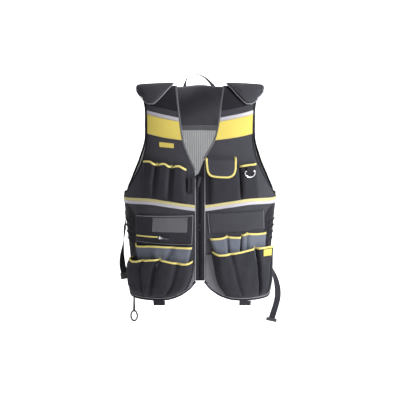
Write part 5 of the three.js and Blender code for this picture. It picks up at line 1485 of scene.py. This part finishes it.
@dataclass
class Zip:
    """The front zip: tape, two placket strips with piping, the coil and two snaps."""

    tape: float = 0.0014
    placket: float = STRIP_WALL
    top: float = 0.33
    snap: float = 0.006
    tooth: tuple[float, float, float] = (0.0034, 0.0009, 0.0012)
    pitch: float = 0.0015
    edge: tuple = ((0.33, -0.8), (0.352, -0.4), (0.378, 0.05), (0.392, 0.3), (0.402, 1), (0.9, 1))

    def strip(
        self, name: str, first: float, last: float, top: float, lift: float, wall: float, finish: Finish
    ) -> Layer:
        """A strip of the zip between two places across, as shares of the tape's half width."""
        share = CUT.zip_half / BODY.half_width

        def where(u: Array, v: Array) -> tuple[Array, Array]:
            """Angle and level; the left edge follows the neck at the top."""
            down = top + (CUT.zip_foot - top) * v
            left = np.maximum(first, -follow(self.edge, down))
            return BODY.front_angle(share * (left + (last - left) * u), down), down

        return Layer(name, RIGHT, where, wall, finish, lift, steps(16), steps(150))

    def build(self) -> None:
        """Makes the parts of the zip."""
        tape = self.strip("zip_tape_cloth", -1.0, 1.0, self.top, RIM_GAP, self.tape, ZIP_TAPE)
        tape.build("zip_tape", ["front_zip"], "laid", ["cloth_front_right"])
        for name, first, last, top in (("left", -1.0, -0.3, 0.412), ("right", 0.3, 1.0, 0.352)):
            strip = self.strip(
                f"placket_{name}", first, last, top, RIM_GAP + self.tape + 0.0002, self.placket, ZIP_TAPE
            )
            strip.build("zip_tape", (), "laid", [tape.name])
            edge, inner = ("inner", "outer") if name == "left" else ("outer", "inner")
            SEAMS.pipe("zip", 0.0014, strip.inset(edge, -0.0002, 0.01, 0.99))
            SEAMS.stitch("zip", strip.inset(inner, 0.0012))
        self.coil(tape)
        self.snaps(tape)

    def coil(self, tape: Layer) -> None:
        """Two rows of small rounded teeth that meet on the middle line, one row shifted by half a pitch."""
        points, normal = tape.line(np.full(400, 0.5), np.linspace(0.16, 0.998, 400), 0.0)
        run = run_of(points)
        teeth = []
        for sign, shift in ((-1, 0.0), (1, 0.5)):
            at = (np.arange(int(run[-1] / self.pitch)) + shift) * self.pitch
            centre, up, ahead = (read_at(at, run, values) for values in (points, normal, tangents(points)))
            wide = unit(np.cross(unit(up), ahead))
            ring = rounded(self.tooth[1], self.tooth[2], 8)
            across = np.array([-0.5, -0.4, 0.4, 0.5]) * self.tooth[0] + sign * 0.0011
            girth = np.array([0.5, 1, 1, 0.5])
            out = ring[:, :1] * ahead[:, None, None] + ring[:, 1:] * unit(up)[:, None, None]
            middle = centre + unit(up) * 0.0006
            body = middle[:, None, None] + across[None, :, None, None] * wide[:, None, None]
            body = body + girth[None, :, None, None] * out
            teeth.append(Surface.repeated(body))
        place(Surface.join(teeth).made("zip_coil", COIL), "zip_tape")

    def snaps(self, tape: Layer) -> None:
        """Two small domed snaps on the tape: discs turned from a rounded profile."""
        discs = []
        for down in (0.635, 0.655):
            centre, normal = tape.line(
                np.array([0.45]), np.array([(down - self.top) / (CUT.zip_foot - self.top)]), 0.0012
            )
            path = centre + normal * np.array([0, 0.0006, 0.0012, 0.0016])[:, None]
            side = unit(np.cross(normal, np.array([0.0, 0, 1])))
            ring = rounded(self.snap, self.snap, 24, 2.0)[None] * np.array([1, 1, 0.85, 0.5])[:, None, None]
            discs.append(
                Surface.sweep(path, np.repeat(side, 4, 0), np.repeat(np.cross(normal, side), 4, 0), ring)
            )
        place(Surface.join(discs).made("zip_snaps", PLASTIC), "zip_tape")


@dataclass
class Padding:
    """The two stuffed shoulder wings: a swollen cushion each, with piping and a sewn line inside its edge.

    Attributes:
        reach: rise of the front and back edges.
        stand: how far the middle stands off the body.
        wall: thickness of the stuffing.
        voxel: size of the remesh.
        cap: how far the simulation may move a point.
        rim: share of the wall left at the rim.
        shoulder: width over which the wall fills out.
        groove: depth of the sewn line.
        groove_in: how far the sewn line lies inside the rim.
        groove_wide: its width.
        length: front to back over the shoulder.
        radius: of the shoulder under the pad, for the UV map and the way out.
        pressure: of the stuffing.
        frames: of the simulation.
        held_out: share of a movement towards the body that is taken back.
        outline_in: rows of share of the reach and share of the half width, for the neck side.
        outline_out: the same for the arm side.
    """

    reach: float = 0.283
    stand: float = 0.0057
    wall: float = 0.007
    voxel: float = 0.004
    cap: float = 0.0035
    rim: float = 0.62
    shoulder: float = 0.014
    groove: float = 0.0022
    groove_in: float = 0.012
    groove_wide: float = 0.003
    length: float = 0.22
    radius: float = 0.12
    pressure: float = 4.0
    frames: int = 20
    held_out: float = 0.7
    outline_in: tuple = (
        (0, 0.335), (0.3, 0.372), (0.5, 0.415), (0.7, 0.468), (0.85, 0.52), (0.95, 0.565), (1, 0.6)
    )
    outline_out: tuple = (
        (0, 0.83), (0.3, 0.83), (0.5, 0.817), (0.7, 0.78), (0.85, 0.735), (0.95, 0.69), (1, 0.65)
    )

    def build(self) -> None:
        """Makes both pads and replaces the two solids."""
        for side, name in NAMES.items():
            layer = self.layer(side)
            piece = self.swollen(self.start(layer, name))
            place(piece, "black_cloth", [f"shoulder_pad_{name}"])
            lines = [layer.inset(edge, 0.0005) for edge in ("inner", "outer", "top", "foot")]
            lowered = [(path - normal * (self.wall / 2), normal) for path, normal in lines]
            SEAMS.pipe("pads", 0.0014, *lowered)

    def layer(self, side: float) -> Layer:
        """The pad's middle sheet over the shoulder, from its front end (v 0) to its back end (v 1)."""

        def where(u: Array, v: Array) -> tuple[Array, Array]:
            """Angle and level; the rise runs from -reach in front to reach at the back."""
            rise = self.reach * (2 * v - 1)
            down = np.maximum(rise**2, BODY.ridge**2)
            share = np.abs(2 * v - 1)
            across = follow(self.outline_in, share) * (1 - u) + follow(self.outline_out, share) * u
            return np.where(v < 0.5, BODY.front_angle(across, down), BODY.back_angle(across, down)), down

        return Layer("pad", side, where, self.wall, PAD, self.stand, steps(28, 0.3), steps(64, 0.2))

    def start(self, layer: Layer, name: str) -> bpy.types.Object:
        """The unswollen pad: thin at its rim and full inside, with a groove along the sewn line."""
        u, v = np.meshgrid(layer.u, layer.v)
        wide = np.linalg.norm(layer.middle[:, -1] - layer.middle[:, 0], axis=-1)[:, None]
        edge = np.minimum(np.minimum(u, 1 - u) * wide, np.minimum(v, 1 - v) * self.length)
        full = self.wall * (self.rim + 0.5 * quarter_round(edge / self.shoulder))
        wall = full - self.groove * np.exp(-(((edge - self.groove_in) / self.groove_wide) ** 2))
        uv = np.zeros((*u.shape, 2))
        return Surface.shell(layer.middle, layer.normals, wall, uv).made(f"pad_{name}", PAD)

    def swollen(self, piece: bpy.types.Object) -> bpy.types.Object:
        """Remeshes the pad, blows it up as cloth, caps the movement and maps its UVs round the shoulder."""
        remesh = piece.modifiers.new("remesh", "REMESH")
        remesh.mode, remesh.voxel_size = "VOXEL", self.voxel
        self.settle(piece)
        start = self.coordinates(piece.data)
        cloth = piece.modifiers.new("cloth", "CLOTH")
        cloth.settings.use_pressure = True
        cloth.settings.uniform_pressure_force = self.pressure
        cloth.settings.effector_weights.gravity = 0
        for frame in range(1, self.frames + 1):
            bpy.context.scene.frame_set(frame)
        evaluated = piece.evaluated_get(bpy.context.evaluated_depsgraph_get())
        move = self.coordinates(evaluated.data) - start
        length = np.linalg.norm(move, axis=1, keepdims=True)
        move *= np.minimum(1, self.cap / np.maximum(length, 1e-9))
        away = unit((start + np.array([0, 0, self.radius])) * np.array([0, 1, 1]))
        inward = np.minimum((move * away).sum(1, keepdims=True), 0)
        piece.modifiers.clear()
        bpy.context.scene.frame_set(1)
        start = start + move - self.held_out * inward * away
        piece.data.vertices.foreach_set("co", start.astype(np.float32).ravel())
        layer = piece.data.uv_layers.new(name="UVMap")
        around = self.radius * np.arctan2(start[:, 1], start[:, 2] + self.radius)
        corner = np.zeros(len(piece.data.loops), dtype=np.int32)
        piece.data.loops.foreach_get("vertex_index", corner)
        layer.data.foreach_set("uv", np.stack([start[:, 0], around], -1)[corner].astype(np.float32).ravel())
        smooth = piece.modifiers.new("smooth", "SUBSURF")
        smooth.levels = smooth.render_levels = 1
        piece.data.shade_smooth()
        piece.data.update()
        return piece

    def settle(self, piece: bpy.types.Object) -> None:
        """Applies the modifiers by taking the evaluated mesh, and keeps the material."""
        evaluated = piece.evaluated_get(bpy.context.evaluated_depsgraph_get())
        mesh = bpy.data.meshes.new_from_object(evaluated)
        piece.modifiers.clear()
        piece.data = mesh
        mesh.materials.clear()
        mesh.materials.append(PAD.build())

    def coordinates(self, mesh: bpy.types.Mesh) -> Array:
        """A mesh's points, N by 3."""
        flat = np.zeros(3 * len(mesh.vertices), dtype=np.float32)
        mesh.vertices.foreach_get("co", flat)
        return flat.reshape(-1, 3).astype(float)


@dataclass
class Webbing:
    """A strap through knots, as a centripetal curve with a turning flat section."""

    wide: float = 0.020
    wall: float = WEBBING_WALL
    finish: Finish = WEBBING

    def curve(self, knots: Array, count: int) -> Array:
        """Points of the centripetal Catmull-Rom curve at even shares between knots."""
        ends = np.concatenate([[2 * knots[0] - knots[1]], knots, [2 * knots[-1] - knots[-2]]])
        gap = np.maximum(np.linalg.norm(np.diff(ends, axis=0), axis=1) ** 0.5, 1e-6)
        at = np.linspace(0, len(knots) - 1, count + 1)
        i = np.minimum(at.astype(int), len(knots) - 2)
        t = (at - i)[:, None]
        p0, p1, p2, p3 = ends[i], ends[i + 1], ends[i + 2], ends[i + 3]
        a, b, c = gap[i][:, None], gap[i + 1][:, None], gap[i + 2][:, None]
        start = ((p1 - p0) / a - (p2 - p0) / (a + b) + (p2 - p1) / b) * b
        end = ((p2 - p1) / b - (p3 - p1) / (b + c) + (p3 - p2) / c) * b
        return (
            p1 * (
                2 * t**3 - 3 * t**2 + 1
            ) + start * (t**3 - 2 * t**2 + t) + p2 * (3 * t**2 - 2 * t**3) + end * (t**3 - t**2)
        )

    def ribbon(self, knots: Array, turns: Sequence[float], side: float, count: int) -> Surface:
        """The strap's surface; a turn is the compass way of its width at a knot, in degrees."""
        path = self.curve(knots, count)
        turn = np.radians(np.interp(np.linspace(0, len(knots) - 1, count + 1), np.arange(len(knots)), turns))
        way = np.stack([side * np.cos(turn), np.sin(turn), 0 * turn], -1)
        thick = unit(np.cross(tangents(path), way))
        wide = unit(np.cross(thick, tangents(path)))
        self.path, self.ways, self.out = path, wide, thick
        return Surface.sweep(path, wide, thick, rounded(self.wide, self.wall, 16, 6.0))


def on_skin(side: float, quarter: float, down: float, out: float) -> Array:
    """A knot on the vest's side, at a share of a quarter turn from the zip."""
    return BODY.skin(side, np.array(quarter * np.pi / 2), np.array(down), out)


def free_knot(side: float, out: float, back: float, down: float) -> Array:
    """A knot in the air, at shares of the half width and of the length."""
    return np.array([side * out * BODY.half_width, back * BODY.half_width, -down * BODY.length])


@dataclass
class Straps:
    """The adjuster straps, the hanging loop, the tail with its loop, the side laces and the hem tabs."""

    stand: float = 0.00395
    tail_wide: float = 0.012
    tail_loop: tuple[float, float] = (0.010, 0.016)
    lace: float = 0.003
    lace_turns: int = 8
    lace_middle: float = 1.27
    lace_swing: float = 0.15
    lace_top: float = 0.61
    lace_drop: float = 0.125
    tab_wide: float = 0.0368
    tab_top: float = 0.0073
    tab_foot: float = -0.0055
    tab_fold: float = 0.0009

    def build(self) -> None:
        """Makes every strap."""
        self.adjusters()
        self.hanger()
        self.tail()
        self.laces()
        self.hem_tabs()

    def adjusters(self) -> None:
        """The waist straps: bowed out into a buckle at the left, hanging free at the right."""
        left = (
            (1.014, 0.02, 0.684, 66), (1.034, 0.02, 0.755, 90), (1.054, 0.02, 0.82, 125),
            (1.05, 0.02, 0.87, 155), (1.03, 0.02, 0.905, 172), (1.018, 0.02, 0.935, 172),
        )
        right = (
            (0.976, 0.05, 0.885, 82), (1.022, 0.05, 0.932, 45), (1.054, 0.04, 0.98, 25),
            (1.06, 0.04, 1.025, 15),
            (1.04, 0.04, 1.067, 12), (1.005, 0.04, 1.11, 10), (0.972, 0.04, 1.152, 10),
        )
        for side, starts, rows in ((LEFT, (0.6, 0.63), left), (RIGHT, (0.79, 0.83), right)):
            knots = [on_skin(side, 1.04, down, self.stand) for down in starts]
            knots += [free_knot(side, *row[:3]) for row in rows]
            web = Webbing()
            surface = web.ribbon(np.array(knots), [95, 95] + [row[3] for row in rows], side, 120)
            name = NAMES[side]
            place(surface.made(f"webbing_{name}", WEBBING), "webbing", [f"strap_{name}"])
            for edge in (-0.38, 0.38):
                path = web.path + web.ways * web.wide * edge + web.out * side * -web.wall / 2
                SEAMS.stitch("straps", (path[:9], -side * web.out[:9]))

    def hanger(self) -> None:
        """The hanging loop: its ends lie flat on the yoke and it twists as it arches over the neck."""
        out = YOKE_WALL + 1.5 * LAYER_GAP + WEBBING_WALL / 2

        def foot(across: float, down: float) -> Array:
            """A knot on the back of the yoke."""
            angle = BODY.back_angle(np.array(abs(across)), np.array(down))
            return BODY.skin(math.copysign(1, across), angle, np.array(down), out)

        depth = foot(0.2, 0.03)[1]
        arch = (
            (-0.5, 0.35, 70), (-0.4, 0.78, 85), (-0.12, 1.0, 80), (0.14, 0.8, 70), (0.33, 0.42, 55),
            (0.46, 0.06, 35)
        )
        middle = [np.array([span * 0.09, depth + 0.001, rise * 0.04 - 0.006]) for span, rise, _ in arch]
        ends = (0.068, 0.05, 0.032)
        knots = [foot(-0.2, down) for down in ends] + middle + [foot(0.2, down) for down in reversed(ends)]
        turns = [8, 8, 8] + [row[2] for row in arch] + [-8, -8, -8]
        surface = Webbing(0.013).ribbon(np.array(knots), turns, 1.0, 110)
        place(surface.made("loop_hanger", WEBBING), "webbing", ["hang_loop"])

    def tail(self) -> None:
        """The narrow strap that hangs from the back hem at the left, with its sewn loop."""
        top = on_skin(LEFT, 1.221, CUT.back_hem + (2 * RIM_GAP + EDGE_TAPE) / BODY.length, 0.001)
        rows = ((0.905, 0.18, 1.0, 100), (0.908, 0.18, 1.06, 110), (0.91, 0.18, 1.115, 120))
        knots = np.array([top] + [free_knot(LEFT, *row[:3]) for row in rows])
        web = Webbing(self.tail_wide)
        strip = web.ribbon(knots, [95] + [row[3] for row in rows], LEFT, 40)
        turn = np.linspace(0, 2 * np.pi, 49)[:-1]
        half, high = self.tail_loop
        ring = np.stack([half * np.sin(turn), 0 * turn, high * (np.cos(turn) - 1)], -1) + web.path[-1]
        deep = np.repeat(np.array([[0.0, 1, 0]]), 48, 0)
        loop = Surface.sweep(
            ring, unit(np.cross(deep, tangents(ring, True))), deep, rounded(0.0052, 0.0046, 12, 4), True
        )
        place(Surface.join([strip, loop]).made("webbing_tail", WEBBING), "webbing", ["strap_tail_left"])

    def laces(self) -> None:
        """The adjuster laces, zigzag over the side panels: a round cord swinging between two rows."""
        sharp = 0.985
        for side, name in NAMES.items():
            share = np.linspace(0, 1, self.lace_turns * 14 + 1)
            swing = np.arcsin(np.cos(np.pi * share * self.lace_turns) * sharp) / np.arcsin(sharp)
            angle = self.lace_middle - self.lace_swing * swing
            down = self.lace_top + self.lace_drop * share
            points = BODY.skin(side, angle, down, MESH_WALL + LAYER_GAP + self.lace / 2)
            normal = BODY.skin_normal(side, angle, down)
            wide = unit(np.cross(tangents(points), normal))
            surface = Surface.sweep(points, wide, normal, rounded(self.lace, 0.0028, 10, 2.0))
            place(surface.made(f"lace_{name}", WEBBING), "webbing", ["side_lace_right"] if side > 0 else ())

    def hem_tabs(self) -> None:
        """The webbing tabs under the hem, each folded once at its foot."""
        for side, name in NAMES.items():
            low, high = (np.array(corner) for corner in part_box(f"hem_tab_{name}"))
            centre = (low + high) / 2
            along = unit(np.array([0.9532, -side * -0.2926, -side * 0.0767]))
            front = unit(np.cross([0, 0, 1.0], along))
            up = np.cross(along, front)
            bend = np.linspace(0, np.pi, 12)
            fold, straight = self.tab_fold, np.linspace(self.tab_top, self.tab_foot, 10)
            back = np.linspace(self.tab_foot, self.tab_top, 10)
            drop = np.concatenate([straight, self.tab_foot - fold * np.sin(bend), back])
            deep = np.concatenate([np.full(10, -fold), -fold * np.cos(bend), np.full(10, fold)])
            path = centre + drop[:, None] * up + deep[:, None] * front
            wide = np.repeat(along[None], len(path), 0)
            thick = unit(np.cross(tangents(path), wide))
            surface = Surface.sweep(path, wide, thick, rounded(self.tab_wide, 0.0014, 16, 6.0))
            place(surface.made(f"tab_{name}", WEBBING), "webbing", [f"hem_tab_{name}"])


@dataclass
class Hardware:
    """The D ring with its tab, and the sliders, pulls, buckle and end piece that keep their CAD shape."""

    wire: float = 0.0036
    width: float = 0.035
    tab: float = 0.020

    def build(self, frame: dict) -> None:
        """Replaces the ring and its tab, and dresses the other nodes."""
        joint = next(joint for joint in frame["joints"] if joint["name"] == "ring_swing")
        origin, across = np.array(joint["pos_m"]), -np.array(joint["axis"])
        out = np.cross(across, [0, 0, 1.0])
        self.ring(origin, across, out)
        self.loop(origin, across, out)
        for node, finish in (
            ("front_zip_slider", DARK_METAL), ("front_zip_pull", DARK_METAL), ("pocket_zip_slider", NICKEL),
            ("pocket_zip_pull", DARK_METAL), ("buckle_left", PLASTIC), ("strap_end_right", PLASTIC),
        ):
            self.dress(frame["nodes"][node], finish)

    def dress(self, node: bpy.types.Object, finish: Finish) -> None:
        """Welds and bevels a CAD node and gives it a finish."""
        weld = node.modifiers.new("weld", "WELD")
        weld.merge_threshold = 0.00001
        bevel = node.modifiers.new("bevel", "BEVEL")
        bevel.width, bevel.segments, bevel.limit_method = 0.0004, 2, "ANGLE"
        node.data.materials.clear()
        node.data.materials.append(finish.build())
        LOG.info("%s: %s", node.name, finish.name)

    def ring(self, origin: Array, across: Array, out: Array) -> None:
        """The D ring: a straight bar and a bow, whose outline is a half ellipse below two small corners."""
        reach, bend = (self.width - self.wire) / 2, 0.003
        corner = np.linspace(0, np.pi / 2, 8)[1:-1]
        right = np.stack([reach - bend + bend * np.sin(corner), -bend + bend * np.cos(corner)], -1)
        turn = -np.linspace(0, np.pi, 41)
        bow = np.stack([reach * np.cos(turn), -bend - 0.0005 + 0.9 * reach * np.sin(turn)], -1)
        bar = np.stack([np.linspace(-reach + bend, reach - bend, 14), np.zeros(14)], -1)
        flat = np.concatenate([bar, right, bow, (right * [-1, 1])[::-1]])
        path = origin + flat[:, :1] * across + flat[:, 1:] * np.array([0, 0, 1.0])
        deep = np.repeat(out[None], len(path), 0)
        surface = Surface.sweep(
            path, unit(np.cross(deep, tangents(path, True))), deep, rounded(self.wire, self.wire, 14, 2), True
        )
        place(surface.made("ring_wire", NICKEL), "metal", ["d_ring"], "d_ring")

    def loop(self, origin: Array, across: Array, out: Array) -> None:
        """The webbing tab: folded round the ring's bar, its two halves flat on each other above."""
        turn = np.radians(np.linspace(76, -256, 28))
        eye = 0.0029 * np.stack([np.cos(turn), np.sin(turn)], -1)
        strand = np.linspace(0.013, 0.0036, 8)
        front = np.stack([np.full(8, 0.00055), strand], -1)
        flat = np.concatenate([front, eye, (front * [-1, 1])[::-1]])
        path = origin + flat[:, :1] * out + flat[:, 1:] * np.array([0, 0, 1.0])
        wide = np.repeat(across[None], len(path), 0)
        thick = unit(np.cross(tangents(path), wide))
        surface = Surface.sweep(path, wide, thick, rounded(self.tab, 0.0009, 16, 6.0))
        place(surface.made("tab_ring", WEBBING), "webbing", ["ring_tab"])


@dataclass
class Studio:
    """The floor, the light and the camera at the photograph's angle."""

    target: tuple[float, float, float] = (0.0, -0.060, -0.336)
    distance: float = 3.2
    elevation: float = 9.0
    lens: float = 96.0
    floor: float = -1.1
    paper: float = 0.02
    sky: float = 0.35
    lights: tuple = (
        ("key", (2.8, -1.5, 0.8), 0.9, 235.0), ("fill", (-1.2, -3.0, 0.6), 1.6, 7.0),
        ("top", (0.6, -0.4, 2.2), 1.2, 12.0),
    )

    def build(self) -> None:
        """Makes the stage."""
        turn = np.linspace(0, np.pi / 2, 17)
        y = np.concatenate([[-6.0], 2.0 + np.sin(turn), [3.0]])
        z = self.floor + np.concatenate([[0], 1 - np.cos(turn), [6.0]])
        across, along = np.meshgrid(np.linspace(-6, 6, 9), np.arange(len(y)))
        middle = np.stack([across, y[along], z[along]], -1)
        normal = unit(np.stack([0 * across, -np.gradient(z)[along], np.gradient(y)[along]], -1))
        surface = Surface.shell(middle, normal, self.paper + 0 * across, middle[..., :2])
        sweep = surface.made("studio_paper", PAPER)
        world = bpy.data.worlds.new("studio")
        world.use_nodes = True
        sky = world.node_tree.nodes["Background"].inputs
        sky["Color"].default_value = (1, 1, 1, 1)
        sky["Strength"].default_value = self.sky
        bpy.context.scene.world = world
        bpy.context.scene.view_settings.view_transform = "Standard"
        for row in self.lights:
            self.light(*row)
        self.camera()

    def light(self, name: str, at: Sequence[float], size: float, power: float) -> None:
        """A soft square light at a place, looking to the target."""
        data = bpy.data.lights.new(name, "AREA")
        data.size, data.energy = size, power
        lamp = bpy.data.objects.new(name, data)
        self.aim(lamp, at)

    def camera(self) -> None:
        """The camera, straight in front and a little above."""
        data = bpy.data.cameras.new("camera")
        data.lens = self.lens
        camera = bpy.data.objects.new("camera", data)
        rise = math.radians(self.elevation)
        x, y, z = self.target
        at = (x, y - self.distance * math.cos(rise), z + self.distance * math.sin(rise))
        self.aim(camera, at)
        bpy.context.scene.camera = camera

    def aim(self, thing: bpy.types.Object, at: Sequence[float]) -> None:
        """Puts a lamp or camera in place, looking to the target."""
        bpy.context.scene.collection.objects.link(thing)
        thing.location = at
        thing.rotation_euler = (Vector(self.target) - Vector(at)).to_track_quat("-Z", "Y").to_euler()


def main() -> None:
    """Loads the frame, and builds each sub-assembly in order."""
    logging.basicConfig(level=logging.INFO, format="%(name)s: %(message)s")
    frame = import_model()
    Studio().build()
    Shell().build()
    Bands().build()
    Zip().build()
    Pockets().build()
    Padding().build()
    Straps().build()
    Hardware().build(frame)
    SEAMS.build()


if __name__ == "__main__":
    main()
